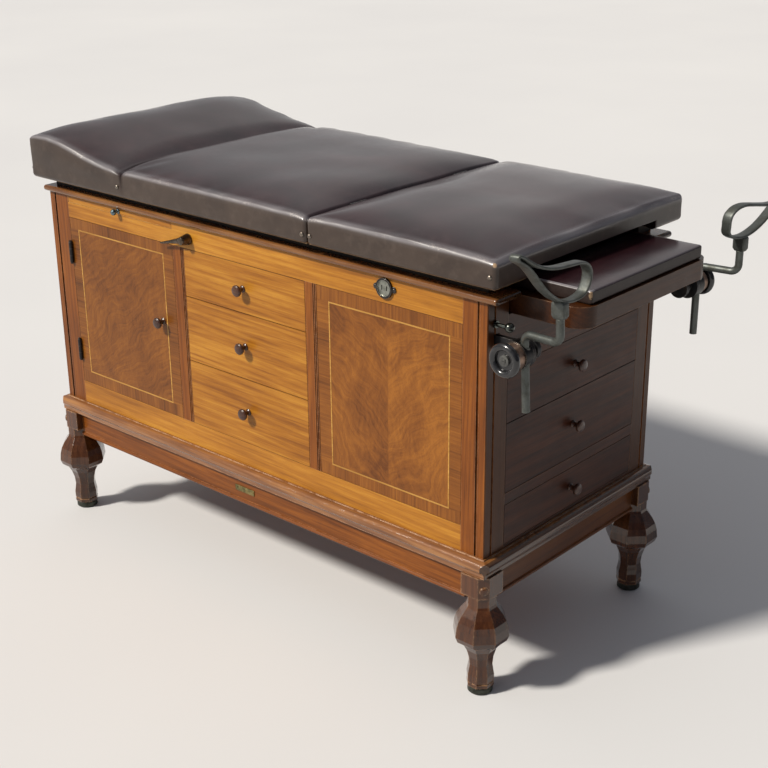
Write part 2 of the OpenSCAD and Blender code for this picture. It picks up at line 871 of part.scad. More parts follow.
// quarter bend of the rod: from +z at the origin round to +x
module bend_up_to_x() {
  translate([bend_r, 0, 0])
    intersection() {
      rotate([90, 0, 0])
        rotate_extrude()
        translate([bend_r, 0]) circle(d = rod_d);
      box(-2*bend_r, 0, -rod_d, rod_d, 0, 2*bend_r);
    }
}

module rod() {
  color(steel)
  translate([rod_x, rod_y, 0])
  rotate([0, 0, -crank_yaw]) {
    bar_z(0, 0, rod_bottom, crank_z - bend_r, rod_d);
    translate([0, 0, crank_z - bend_r]) bend_up_to_x();
    bar_x(bend_r, crank_reach - bend_r, 0, crank_z, rod_d);
    translate([crank_reach, 0, crank_z + bend_r]) rotate([0, 180, 0]) bend_up_to_x();
    bar_z(crank_reach, 0, crank_z + bend_r, 762, rod_d);
    bar_z(crank_reach, 0, 761, sock_z0 + 18, 9);
  }
}

// heel loop: centre line of the strap, as offsets [bow, across, height] from the socket
loop_path = [[0, 4.9, 789.6], [0, 21.9, 786.3], [0, 35.5, 785.9], [1, 49.1, 788.4],
  [2, 57.8, 793.5], [4, 63.2, 803.6], [5, 66.8, 814.6], [6, 65.8, 826.3], [8, 55.5, 838.4],
  [10, 38, 846.2], [12, 16.3, 849.4], [13, -9.5, 851.8], [13, -33.5, 854.3], [12, -57.7, 859.5],
  [9, -77.9, 867.4], [6, -91.1, 875.4], [3, -102.5, 883.7], [1, -109.5, 888],
  [-1, -113.4, 886.1], [-1, -111.5, 880.9], [0, -103.6, 875.9], [0, -89.8, 866.6],
  [0, -75.9, 853.1], [0, -61.9, 836.8], [0, -46.8, 821.1], [0, -31.1, 808.2], [0, -12.8, 797]];
strap = [[10, 1], [8.6, 2.8], [-8.6, 2.8], [-10, 1], [-10, -1], [-8.6, -2.8], [8.6, -2.8], [10, -1]];

function ring_at(i) =
  let (n = len(loop_path),
    p = loop_path[i],
    a = loop_path[(i + n - 1) % n],
    b = loop_path[(i + 1) % n],
    t = [b[1] - a[1], b[2] - a[2]],
    u = t/norm(t))
  [for (s = strap) [p[0] + s[0], p[1] - u[1]*s[1], p[2] + u[0]*s[1]]];

loop_points = [for (i = [0:len(loop_path) - 1]) each ring_at(i)];

function loop_faces(n, m) =
  [for (i = [0:n - 1], j = [0:m - 1])
    let (k = (i + 1) % n, l = (j + 1) % m)
    [i*m + j, i*m + l, k*m + l, k*m + j]];

// square block on the rod's top, its lower edges bevelled
module socket_block() {
  intersection() {
    translate([0, 0, sock_z0])
      linear_extrude(sock_z1 - sock_z0)
      polygon([[-12.5, -6], [-10, -8.5], [10, -8.5], [12.5, -6], [12.5, 6], [10, 8.5], [-10, 8.5], [-12.5, 6]]);
    rotate([90, 0, 0])
      linear_extrude(20, center = true)
      polygon([[-9.5, sock_z0], [9.5, sock_z0], [13, sock_z0 + 5], [13, sock_z1], [-13, sock_z1],
        [-13, sock_z0 + 5]]);
  }
}

module loop(tip, turn) {
  color(steel)
  translate([sock_x, sock_y, 0])
  rotate([0, 0, turn]) {
    translate([0, 0, sock_mid])
      rotate([tip, 0, 0])
      translate([0, 0, -sock_mid])
      polyhedron(points = loop_points, faces = loop_faces(len(loop_path), len(strap)), convexity = 6);
    difference() {
      union() {
        socket_block();
        box(-7, 7, -7, 7, 782, 791.5);
      }
      bar_z(0, 0, sock_z0 - 1, sock_z0 + 18.2, 9.1);
    }
  }
}

module plunger() {
  color(black) {
    bar_x(556, hl + 24, plunger_y, plunger_z, 7.2);
    bar_x(hl + 0.3, hl + 4, plunger_y, plunger_z, 13);
    translate([hl + 30, plunger_y, plunger_z]) sphere(d = 17);
  }
}

place() leg(-1, -1);  // leg_front_head
place() leg(1, -1);  // leg_front_foot
place() leg(-1, 1);  // leg_back_head
place() leg(1, 1);  // leg_back_foot
place() ferrules();
place() apron();
place() base_moulding();
place() posts();
place() rails();
place() front_panel();
place() panel_string_inlay();
place() carcass_panels();
place() dividers();
place() slide_guides();
place() crown_moulding();
place() deck();
place() blank_plate();
place() outlet();
place() door_hinge_fixed();
place() seat_base();
place() seat_cushion();
place() seat_hinge();
place() door();
place() door_string_inlay();
place() knob_at(-243, front_y, 537, 0);  // door_knob
place() door_hinge_leaf();
place() bank_drawer(2);  // drawer_top
place() bank_drawer(1);  // drawer_middle
place() bank_drawer(0);  // drawer_bottom
place() knob_at(4, front_y, 658, 0);  // knob_top
place() knob_at(4, front_y, 539, 0);  // knob_middle
place() knob_at(4, front_y, 400, 0);  // knob_bottom
place() end_drawer(2);  // end_drawer_top
place() end_drawer(1);  // end_drawer_middle
place() end_drawer(0);  // end_drawer_bottom
place() knob_at(hl, 0, 575, 90);  // end_knob_top
place() knob_at(hl, 0, 455, 90);  // end_knob_middle
place() knob_at(hl, 0, 326, 90);  // end_knob_bottom
place() slide_board();
place() slide_knob();
place() lever();
place() back_base();
place() back_cushion();
place() back_ironwork();
place() leg_rest_frame();
place() leg_rest_pad();
place() arm(lift_front);  // arm_front
place() set_at(lift_front, lean_front) clamp();  // clamp_front
place() set_at(lift_front, lean_front) wheel();  // wheel_front
place() set_at(lift_front, lean_front) bush();  // bush_front
place() set_at(lift_front, lean_front) rod();  // rod_front
place() set_at(lift_front, lean_front) loop(0, 0);  // loop_front
place() plunger();  // plunger_front
back_side() arm(lift_back);  // arm_back
back_side() set_at(lift_back, 0) clamp();  // clamp_back
back_side() set_at(lift_back, 0) wheel();  // wheel_back
back_side() set_at(lift_back, 0) bush();  // bush_back
back_side() set_at(lift_back, 0) rod();  // rod_back
back_side() set_at(lift_back, 0) loop(tip_back, turn_back);  // loop_back
back_side() plunger();  // plunger_back
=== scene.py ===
import math

import bmesh
import bpy
import numpy as np
from mathutils import Matrix, Vector, noise


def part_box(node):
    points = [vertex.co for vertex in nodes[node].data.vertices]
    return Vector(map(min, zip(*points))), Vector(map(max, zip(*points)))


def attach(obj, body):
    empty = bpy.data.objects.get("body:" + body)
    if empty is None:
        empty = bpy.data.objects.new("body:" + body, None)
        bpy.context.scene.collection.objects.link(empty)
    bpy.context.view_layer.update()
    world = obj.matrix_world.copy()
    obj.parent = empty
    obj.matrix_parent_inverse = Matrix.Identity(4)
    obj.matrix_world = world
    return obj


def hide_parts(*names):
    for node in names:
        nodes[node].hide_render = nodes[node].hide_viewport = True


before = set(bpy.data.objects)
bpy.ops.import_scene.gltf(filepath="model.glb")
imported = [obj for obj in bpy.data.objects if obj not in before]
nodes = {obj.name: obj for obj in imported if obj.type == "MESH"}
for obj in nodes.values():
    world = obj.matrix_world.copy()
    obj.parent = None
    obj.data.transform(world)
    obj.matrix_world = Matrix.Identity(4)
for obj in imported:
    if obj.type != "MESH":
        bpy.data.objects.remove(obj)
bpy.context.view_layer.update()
scene = bpy.context.scene
MM = 0.001

# the cabinet's middle lies off the row's origin
post_lo, post_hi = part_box("posts")
SHIFT = (post_lo.x + post_hi.x) / 2
SHIFT_Y = (post_lo.y + post_hi.y) / 2


def place(x, y, z):
    """Cabinet-centred millimetres to the row frame in metres."""
    return Vector((x * MM + SHIFT, y * MM + SHIFT_Y, z * MM))


def spans(node):
    """A CAD node's reach along x, y and z, in cabinet-centred millimetres."""
    lo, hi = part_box(node)
    shift = (SHIFT, SHIFT_Y, 0.0)
    return [(round((a - s) / MM, 1), round((b - s) / MM, 1)) for a, b, s in zip(lo, hi, shift)]


# ---------------------------------------------------------------- camera
LENS = 66.6
SENSOR = 36.0
# where the camera stands, in metres from the floor under the cabinet's middle, and the way it is turned
EYE = (1.952, -2.029, 1.501)
VIEW_RIGHT = Vector((0.7469, 0.6649, -0.0095))
VIEW_UP = Vector((-0.2398, 0.2826, 0.9288))
VIEW_BACK = Vector((0.6202, -0.6914, 0.3705))

camera = bpy.data.objects.new("camera", bpy.data.cameras.new("camera"))
scene.collection.objects.link(camera)
camera.data.lens = LENS
camera.data.sensor_width = SENSOR
camera.data.clip_end = 200
turn = Matrix((VIEW_RIGHT, VIEW_UP, VIEW_BACK)).transposed().to_quaternion().to_matrix()
camera.matrix_world = Matrix.Translation((EYE[0] + SHIFT, EYE[1] + SHIFT_Y, EYE[2])) @ turn.to_4x4()
scene.camera = camera
scene.view_settings.view_transform = "Standard"


# ---------------------------------------------------------------- shader graphs
class Graph:
    """A material's node graph; sockets and plain values both go in."""

    def __init__(self, name):
        self.mat = bpy.data.materials.new(name)
        self.mat.use_nodes = True
        self.tree = self.mat.node_tree
        self.tree.nodes.clear()
        out = self.node("OutputMaterial")
        self.bsdf = self.node("BsdfPrincipled")
        self.tree.links.new(self.bsdf.outputs[0], out.inputs[0])
        self.co = self.node("TexCoord").outputs["Object"]

    def node(self, kind, **settings):
        n = self.tree.nodes.new("ShaderNode" + kind)
        for key, value in settings.items():
            setattr(n, key, value)
        return n

    def put(self, socket, value):
        """Links a socket's value or sets a plain one; None leaves it alone."""
        if isinstance(value, bpy.types.NodeSocket):
            self.tree.links.new(value, socket)
        elif value is not None:
            if socket.type == "RGBA" and len(value) == 3:
                value = (*value, 1.0)
            socket.default_value = value

    def math(self, op, a, b=None, c=None):
        n = self.node("Math", operation=op)
        for i, v in enumerate((a, b, c)):
            self.put(n.inputs[i], v)
        return n.outputs[0]

    def vec(self, op, a, b=None):
        n = self.node("VectorMath", operation=op)
        self.put(n.inputs[0], a)
        self.put(n.inputs[1], b)
        return n.outputs["Value" if op == "DOT_PRODUCT" else "Vector"]

    def split(self, v):
        n = self.node("SeparateXYZ")
        self.put(n.inputs[0], v)
        return n.outputs

    def join(self, x, y, z):
        n = self.node("CombineXYZ")
        for i, v in enumerate((x, y, z)):
            self.put(n.inputs[i], v)
        return n.outputs[0]

    def mix(self, fac, a, b):
        """Colour a where fac is 0, b where it is 1."""
        n = self.node("Mix", data_type="RGBA")
        self.put(n.inputs[0], fac)
        self.put(n.inputs[6], a)
        self.put(n.inputs[7], b)
        return n.outputs[2]

    def lerp(self, fac, a, b):
        """The same as mix for plain values."""
        n = self.node("Mix", data_type="FLOAT")
        self.put(n.inputs[0], fac)
        self.put(n.inputs[2], a)
        self.put(n.inputs[3], b)
        return n.outputs[0]

    def ramp(self, fac, stops):
        """Colours or greys at their places from 0 to 1."""
        n = self.node("ValToRGB")
        r = n.color_ramp
        while len(r.elements) < len(stops):
            r.elements.new(0.5)
        for e, (p, c) in zip(r.elements, stops):
            e.position = p
            e.color = (c, c, c, 1) if isinstance(c, (int, float)) else (*c, 1)
        self.put(n.inputs[0], fac)
        return n.outputs[0]

    def band(self, value, lo, hi):
        """0 below lo, 1 above hi, smooth between."""
        n = self.node("MapRange", interpolation_type="SMOOTHSTEP")
        for i, v in enumerate((value, lo, hi, 0.0, 1.0)):
            self.put(n.inputs[i], v)
        return n.outputs[0]

    def hypot(self, a, b):
        total = self.math("ADD", self.math("MULTIPLY", a, a), self.math("MULTIPLY", b, b))
        return self.math("SQRT", total)

    def noise(self, vector, scale, detail=3.0, rough=0.55, warp=0.0, color=False):
        n = self.node("TexNoise")
        self.put(n.inputs["Vector"], vector)
        settings = {"Scale": scale, "Detail": detail, "Roughness": rough, "Distortion": warp}
        for key, v in settings.items():
            n.inputs[key].default_value = v
        return n.outputs["Color" if color else 0]

    def stretched(self, vector, scale, seed=0.0):
        """Coordinates scaled along each axis and moved to a place of their own."""
        n = self.node("Mapping")
        self.put(n.inputs["Vector"], vector)
        n.inputs["Location"].default_value = (seed, seed * 0.7, seed * 1.3)
        n.inputs["Scale"].default_value = scale
        return n.outputs[0]

    def rounded(self, radius):
        """The normal with corners rounded off."""
        n = self.node("Bevel", samples=4)
        n.inputs["Radius"].default_value = radius
        return n.outputs[0]

    def edge(self, radius):
        """Bright where the surface turns a corner within radius."""
        geo = self.node("NewGeometry").outputs["Normal"]
        dot = self.vec("DOT_PRODUCT", self.rounded(radius), geo)
        return self.band(self.math("SUBTRACT", 1.0, dot), 0.02, 0.25)

    def uneven(self, rough, spread, scale=30):
        """Roughness that drifts by spread over the surface."""
        return self.math("MULTIPLY_ADD", self.noise(self.co, scale, 4.0, 0.6), spread, rough - spread / 2)

    def facing_foot(self):
        """1 on the faces that are turned to the foot end, where the woods get painted shade."""
        normal = self.node("NewGeometry").outputs["Normal"]
        return self.math("GREATER_THAN", self.split(normal)[0], 0.5)

    def bump(self, height, strength, distance, normal=None):
        n = self.node("Bump")
        n.inputs["Strength"].default_value = strength
        n.inputs["Distance"].default_value = distance
        self.put(n.inputs["Height"], height)
        self.put(n.inputs["Normal"], normal)
        return n.outputs[0]

    def finish(self, color, rough, normal=None, **fixed):
        """Fills in the shader; fixed holds its other sockets, with _ for a space."""
        self.put(self.bsdf.inputs["Base Color"], color)
        self.put(self.bsdf.inputs["Roughness"], rough)
        self.put(self.bsdf.inputs["Normal"], normal)
        for key, v in fixed.items():
            self.bsdf.inputs[key.replace("_", " ")].default_value = v
        return self.mat


def shaded(color, amount):
    """A colour made darker or lighter."""
    return tuple(amount * c for c in color)


# ---------------------------------------------------------------- wood
# dark, middle and light of each wood
RAIL = ((0.22, 0.078, 0.008), (0.35, 0.138, 0.0135), (0.49, 0.23, 0.029))
HONEY = ((0.19, 0.063, 0.006), (0.30, 0.112, 0.010), (0.425, 0.19, 0.022))
WALNUT = ((0.094, 0.0255, 0.0028), (0.163, 0.0456, 0.0048), (0.25, 0.078, 0.008))
CROTCH = ((0.10, 0.030, 0.0045), (0.172, 0.056, 0.0075), (0.262, 0.094, 0.012))
EDGING = ((0.10, 0.035, 0.011), (0.195, 0.075, 0.021), (0.32, 0.145, 0.045))
# the crown's wood is the edging darkened as painted shade, for its place under the cushions' overhang
CROWN = tuple(shaded(c, 0.7) for c in EDGING)
# the leg rest frame's walnut darkened as painted shade
REST = ((0.022, 0.006, 0.0012), (0.04, 0.011, 0.002), (0.064, 0.02, 0.0036))
RED = ((0.027, 0.0075, 0.002), (0.051, 0.0155, 0.004), (0.09, 0.030, 0.009))
# walnut darkened as painted shade, for the foot end, which faces away from the light
WALNUT_IN_SHADE = ((0.021, 0.005, 0.0018), (0.041, 0.010, 0.003), (0.072, 0.019, 0.006))
KNOB = ((0.022, 0.007, 0.004), (0.042, 0.014, 0.007), (0.075, 0.028, 0.013))
INNER = ((0.2, 0.11, 0.05), (0.36, 0.22, 0.11), (0.5, 0.34, 0.19))
BOXWOOD = ((0.30, 0.14, 0.025), (0.42, 0.215, 0.045), (0.54, 0.30, 0.075))
DECK = ((0.012, 0.009, 0.008), (0.02, 0.015, 0.012), (0.035, 0.026, 0.02))

# thickness of the drawer fronts and of the rails at the foot end, in metres
END_FRONT = 0.0185
END_RAIL = 0.0195

# a grain's direction: the axes across, into and along it
AXES = {"x": (1, 2, 0), "y": (0, 2, 1), "z": (0, 1, 2)}
VARNISH = {"Coat_Weight": 0.08, "Coat_Roughness": 0.16, "Specular_IOR_Level": 0.22}


def grained(s, grain):
    """Coordinates as (across, depth, along); 'frame' follows the long way of a moulding."""
    x, y, z = s.split(s.co)[:3]
    if grain != "frame":
        return s.join(*((x, y, z)[axis] for axis in AXES[grain]))
    n = s.split(s.node("NewGeometry").outputs["Normal"])[0]
    side = s.math("GREATER_THAN", s.math("ABSOLUTE", n), 0.6)
    return s.join(s.lerp(side, y, x), z, s.lerp(side, x, y))


def plain_wood(s, p, seed, ring, dark, mid, light, contrast=1.0):
    """Colour and fibre height of plain walnut with the grain along p's third axis."""
    slow = s.noise(s.stretched(p, (7, 7, 1.1), seed), 1.0, 2.0, 0.5, color=True)
    warp = s.vec("MULTIPLY", s.vec("SUBTRACT", slow, (0.5, 0.5, 0.5)), (0.05, 0.05, 0))
    # growth rings round a heart that lies beside the board and leans a little
    heart = (0.07 * math.sin(seed), 0.11 + 0.03 * math.cos(seed * 3), 0)
    q = s.split(s.vec("ADD", s.vec("ADD", p, warp), heart))
    depth = s.math("MULTIPLY_ADD", q[2], 0.055, q[1])
    rings = s.math("FRACT", s.math("MULTIPLY", s.hypot(q[0], depth), ring))
    rings = s.ramp(rings, [(0.0, 0.2), (0.2, 0.62), (0.55, 0.75), (0.8, 0.45), (1.0, 0.2)])
    fibre = s.noise(s.stretched(p, (330, 330, 7), seed + 3), 1.0, 4.0, 0.65)
    fine = s.noise(s.stretched(p, (1500, 1500, 45), seed + 5), 1.0, 2.0, 0.6)
    streak = s.noise(s.stretched(p, (60, 60, 3.2), seed + 7), 1.0, 4.0, 0.6, 0.5)
    broad = s.noise(s.stretched(p, (11, 11, 3.5), seed + 9), 1.0, 3.0, 0.55, 0.6)
    value = s.math("MULTIPLY_ADD", rings, 0.13 * contrast, s.math("MULTIPLY", fibre, 0.36))
    value = s.math("MULTIPLY_ADD", streak, 0.36 * contrast, value)
    value = s.math("MULTIPLY_ADD", broad, 0.36, value)
    middle = 0.36 + 0.25 * contrast
    color = s.ramp(value, [(middle - 0.13, dark), (middle, mid), (middle + 0.14, light)])
    pores = s.band(fine, 0.60, 0.70)
    color = s.mix(s.math("MULTIPLY", pores, 0.4), color, shaded(dark, 0.45))
    return color, s.math("MULTIPLY_ADD", pores, -0.7, fibre)


def wood(name, grain, seed, dark, mid, light, ring=95, rough=0.36, coat=0.08, wear=None,
         radius=0.0012, grime=0.5, spec=0.22, foot=0.0, coat_rough=0.16, wear_width=0.0028):
    """One wood. Its edge colour is that of its rubbed edges and also serves as a painted highlight
    along them, and foot is how much painted shade darkens the faces turned to the foot end."""
    s = Graph(name)
    p = grained(s, grain)
    color, height = plain_wood(s, p, seed, ring, dark, mid, light)
    # rubbed edges, lightened in patches, which also stand in for painted highlights along the edges
    if wear:
        worn = s.math("MULTIPLY", s.edge(wear_width), s.band(s.noise(s.co, 60, 4.0, 0.7), 0.36, 0.58))
        color = s.mix(s.math("MULTIPLY", worn, 0.75), color, wear)
    dirt = s.math("MULTIPLY", s.band(s.noise(s.co, 22, 5.0, 0.7), 0.52, 0.72), 0.22 * grime)
    color = s.mix(dirt, color, (0.02, 0.012, 0.008))
    # painted shade on the faces turned to the foot end
    if foot:
        color = s.mix(s.math("MULTIPLY", s.facing_foot(), foot), color, (0.012, 0.004, 0.001))
    return s.finish(color, s.uneven(rough, 0.22, 35), s.bump(height, 0.22, 0.00035, s.rounded(radius)),
                    Coat_Weight=coat, Coat_Roughness=coat_rough, Specular_IOR_Level=spec)


def figured(name, inlay, seed, matched, tint):
    """Crotch veneer inside the string inlay, plain walnut round it. A matched pair of leaves is
    mirrored at a joint down the middle."""
    s = Graph(name)
    x, y, z = s.split(s.co)[:3]
    reach_x, _, reach_z = spans(inlay)
    x0, x1 = (v * MM + SHIFT for v in reach_x)
    z0, z1 = (v * MM for v in reach_z)
    off = s.math("SUBTRACT", x, sum(reach_x) / 2 * MM + SHIFT)
    half = s.math("ABSOLUTE", off) if matched else off
    # the second leaf was cut 13 mm deeper, so its figure is alike but not the same
    side = s.band(off, -0.0004, 0.0004)
    q = s.join(half, s.math("MULTIPLY", side, 0.013 if matched else 0.0), z)
    slow = s.noise(s.stretched(q, (5, 5, 5), seed), 1.0, 3.0, 0.55, color=True)
    bend = s.vec("SUBTRACT", slow, (0.5, 0.5, 0.5))
    w = s.split(s.vec("ADD", q, s.vec("MULTIPLY", bend, (0.16, 0.0, 0.16))))
    swirl = s.math("MULTIPLY_ADD", w[0], -0.75, w[2])
    along = s.join(s.math("MULTIPLY", swirl, 120), s.math("MULTIPLY", w[0], 16), seed)
    lines = s.noise(along, 1.0, 4.0, 0.66)
    across = s.join(s.math("MULTIPLY", w[0], 150), s.math("MULTIPLY", w[2], 40), seed + 4)
    curl = s.noise(across, 1.0, 3.0, 0.65)
    cloud = s.noise(s.stretched(q, (11, 11, 7), seed + 8), 1.0, 6.0, 0.68, 0.6)
    speck = s.noise(s.stretched(q, (900, 900, 260), seed + 2), 1.0, 2.0, 0.6)
    value = s.math("MULTIPLY_ADD", lines, 0.36, s.math("MULTIPLY", cloud, 0.44))
    value = s.math("MULTIPLY_ADD", curl, 0.2, value)
    if matched:
        value = s.math("MULTIPLY_ADD", side, 0.045, value)
        near_joint = s.math("SUBTRACT", 1.0, s.band(half, 0.0, 0.05))
        shade = s.math("MULTIPLY", s.math("SUBTRACT", 1.0, side), near_joint)
        value = s.math("MULTIPLY_ADD", shade, -0.035, value)
    dark, mid, light = (shaded(c, tint) for c in CROTCH)
    inner = s.ramp(value, [(0.38, dark), (0.5, mid), (0.64, light)])
    inner = s.mix(s.math("MULTIPLY", s.band(speck, 0.58, 0.7), 0.4), inner, (0.05, 0.02, 0.01))
    upright = s.join(x, y, z)
    level = s.join(z, y, x)
    over_or_under = s.math("ADD", s.math("GREATER_THAN", z, z1), s.math("LESS_THAN", z, z0))
    grain = s.node("Mix", data_type="VECTOR")
    s.put(grain.inputs[0], over_or_under)
    s.put(grain.inputs[4], level)
    s.put(grain.inputs[5], upright)
    outer, height = plain_wood(s, grain.outputs[1], seed + 20, 110, shaded(dark, 0.8), mid, light, 0.6)
    beside = s.math("ADD", s.math("GREATER_THAN", x, x1), s.math("LESS_THAN", x, x0))
    color = s.mix(s.math("MAXIMUM", over_or_under, beside), inner, outer)
    # the veneer is on the front; the board behind it is plain
    veneer = 0.004
    deep = s.math("GREATER_THAN", y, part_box("front_panel")[0].y + veneer)
    color = s.mix(deep, color, shaded(mid, 0.6))
    return s.finish(color, s.uneven(0.36, 0.2), s.bump(height, 0.12, 0.0003, s.rounded(0.0008)),
                    Coat_Weight=0.08, Coat_Roughness=0.14, Specular_IOR_Level=0.22)


def faced(name, grain, seed, palette, behind_front, ring, rough=0.36, coat=0.08):
    """A drawer: show wood for its front, plain pale wood for the box behind it. behind_front is
    the test that finds the box, as an axis, LESS_THAN or GREATER_THAN, and a limit in metres."""
    s = Graph(name)
    axis, test, limit = behind_front
    show, height = plain_wood(s, grained(s, grain), seed, ring, *palette, 1.15)
    plain = plain_wood(s, grained(s, "xy"[axis]), seed + 30, 80, *INNER, 0.6)[0]
    behind = s.math(test, s.split(s.co)[axis], limit)
    color = s.mix(behind, show, plain)
    # the fronts' edges darkened as painted shade for the gaps between drawers and rails
    rim = s.math("MULTIPLY", s.edge(0.0022), 0.6)
    color = s.mix(rim, color, shaded(palette[0], 0.3))
    gloss = s.lerp(behind, s.uneven(rough, 0.22), 0.7)
    fixed = {**VARNISH, "Coat_Weight": coat}
    return s.finish(color, gloss, s.bump(height, 0.2, 0.00035, s.rounded(0.001)), **fixed)


def rails_material():
    """Honey rails along the front; across the foot end and on faces turned to it, walnut darkened as painted
    shade.
    """
    s = Graph("rails")
    x = s.split(s.co)[0]
    # the foot end's rails and every face turned to it take walnut darkened as painted shade
    foot = s.math("GREATER_THAN", x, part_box("rails")[1].x - END_RAIL)
    foot = s.math("MAXIMUM", foot, s.facing_foot())
    front, height = plain_wood(s, grained(s, "x"), 10.4, 70, *RAIL, 0.75)
    end = plain_wood(s, grained(s, "y"), 11.9, 90, *WALNUT_IN_SHADE, 1.0)[0]
    color = s.mix(foot, front, end)
    color = s.mix(s.math("MULTIPLY", s.edge(0.0016), 0.3), color, (0.5, 0.28, 0.1))
    return s.finish(color, s.uneven(0.36, 0.2), s.bump(height, 0.2, 0.00035, s.rounded(0.001)), **VARNISH)


# ---------------------------------------------------------------- metal and leather
def metal(name, color, seed, rough, metallic, spots, amount, bump=0.25, edge=None):
    """A metal clouded with spots of another colour; edge is the colour of its rubbed edges."""
    s = Graph(name)
    cloud = s.noise(s.stretched(s.co, (60, 60, 60), seed), 1.0, 5.0, 0.65)
    fine = s.noise(s.stretched(s.co, (300, 300, 300), seed), 1.0, 3.0, 0.6)
    c = s.mix(s.math("MULTIPLY", s.band(cloud, 0.42, 0.68), amount), color, spots)
    c = s.mix(s.math("MULTIPLY", s.band(fine, 0.5, 0.75), 0.35), c, shaded(color, 1.7))
    if edge:
        c = s.mix(s.math("MULTIPLY", s.edge(0.0012), 0.7), c, edge)
    gloss = s.math("MULTIPLY_ADD", cloud, 0.35, rough - 0.17)
    height = s.math("ADD", cloud, fine)
    return s.finish(c, gloss, s.bump(height, bump, 0.0003, s.rounded(0.0006)), Metallic=metallic)


def leather(name):
    """Oilcloth-like leather: glossy mottled top, dusty skirts, pale crazing along the worn edges. Its four
    painted weights are the rubbed rim, also a painted highlight, the skirt, painted shade in the creases
    and on the leg rest's skirt, and the torn corners."""
    s = Graph(name)
    painted = ("worn", "skirt", "seam", "tan")
    worn, skirt, seam, tan = (s.node("Attribute", attribute_name=n).outputs["Fac"] for n in painted)
    cloud = s.noise(s.stretched(s.co, (9, 9, 9), 2), 1.0, 4.0, 0.6, 0.5)
    mottle = s.noise(s.co, 45, 5.0, 0.68)
    pebble = s.node("TexVoronoi", feature="F1")
    s.put(pebble.inputs["Vector"], s.co)
    pebble.inputs["Scale"].default_value = 620
    grain = pebble.outputs["Distance"]
    top = s.ramp(cloud, [(0.3, (0.010, 0.0032, 0.0045)), (0.5, (0.018, 0.006, 0.008)),
                         (0.72, (0.033, 0.013, 0.015))])
    top = s.mix(s.math("MULTIPLY", s.band(mottle, 0.5, 0.72), 0.3), top, (0.048, 0.030, 0.031))
    side = s.ramp(cloud, [(0.3, (0.027, 0.016, 0.011)), (0.7, (0.047, 0.030, 0.021))])
    side = s.mix(s.math("MULTIPLY", s.band(mottle, 0.45, 0.75), 0.4), side, (0.078, 0.056, 0.043))
    color = s.mix(skirt, top, side)
    # rubbed pale along the rim, also a painted highlight, with flecks in patches,
    # bare hide at the tears, painted shade in the creases
    craze = s.noise(s.co, 330, 4.0, 0.75)
    color = s.mix(s.math("MULTIPLY", s.math("MULTIPLY", worn, worn), 0.3), color, (0.40, 0.38, 0.40))
    patch = s.band(s.noise(s.co, 14, 3.0, 0.6), 0.52, 0.66)
    flecked = s.math("MULTIPLY", patch, s.band(worn, 0.45, 0.95))
    flecks = s.math("MULTIPLY", s.band(craze, 0.50, 0.60), flecked)
    color = s.mix(s.math("MULTIPLY", flecks, 0.55), color, (0.40, 0.35, 0.31))
    torn = s.math("MULTIPLY", s.band(tan, 0.45, 0.7), s.band(craze, 0.36, 0.46))
    color = s.mix(torn, color, (0.42, 0.28, 0.16))
    # painted shade in the creases and on the leg rest's skirt: near black, with its gloss taken away
    color = s.mix(s.math("MULTIPLY", seam, 0.85), color, (0.008, 0.005, 0.006))
    rough = s.math("MULTIPLY_ADD", mottle, 0.18, 0.11)
    rough = s.lerp(skirt, rough, 0.42)
    rough = s.lerp(worn, rough, 0.36)
    shiny = s.math("SUBTRACT", 1.0, s.math("MULTIPLY", seam, 0.95))
    level = s.math("MULTIPLY_ADD", worn, 0.64, 0.36)
    s.put(s.bsdf.inputs["Specular IOR Level"], s.math("MULTIPLY", level, shiny))
    coat = s.math("MULTIPLY_ADD", worn, 0.75, 0.25)
    s.put(s.bsdf.inputs["Coat Weight"], s.math("MULTIPLY", coat, shiny))
    rough = s.lerp(s.math("MULTIPLY", flecks, 0.6), rough, 0.6)
    high = s.math("MULTIPLY_ADD", mottle, 1.4, s.math("MULTIPLY", grain, -0.6))
    return s.finish(color, rough, s.bump(high, 0.13, 0.0006), Coat_Roughness=0.16)


def off_axis(s, node):
    """Distance from a CAD node's middle line that runs along y."""
    lo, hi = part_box(node)
    x, _, z = s.split(s.co)[:3]
    dx = s.math("SUBTRACT", x, (lo.x + hi.x) / 2)
    dz = s.math("SUBTRACT", z, (lo.z + hi.z) / 2)
    return s.hypot(dx, dz)


def outlet_material():
    """Grey socket face inside a blackened ring and a worn rim, with painted shade deep in its recess."""
    s = Graph("outlet_steel")
    face_radius = 0.015
    ring_depth = 0.0045
    cloud = s.noise(s.co, 150, 5.0, 0.65)
    face = s.ramp(cloud, [(0.35, (0.17, 0.175, 0.15)), (0.7, (0.33, 0.34, 0.30))])
    ring = s.ramp(cloud, [(0.35, (0.022, 0.020, 0.020)), (0.7, (0.07, 0.064, 0.060))])
    color = s.mix(s.band(off_axis(s, "outlet"), face_radius - 0.0004, face_radius + 0.0002), face, ring)
    color = s.mix(s.math("MULTIPLY", s.edge(0.0010), 0.6), color, (0.45, 0.43, 0.40))
    # painted shade in the recess, near black beyond the ring's depth
    inside = s.math("GREATER_THAN", s.split(s.co)[1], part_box("outlet")[0].y + ring_depth)
    color = s.mix(inside, color, (0.012, 0.011, 0.010))
    rough = s.math("MULTIPLY_ADD", cloud, 0.3, 0.2)
    return s.finish(color, rough, s.bump(cloud, 0.2, 0.0003, s.rounded(0.0006)), Metallic=0.85)


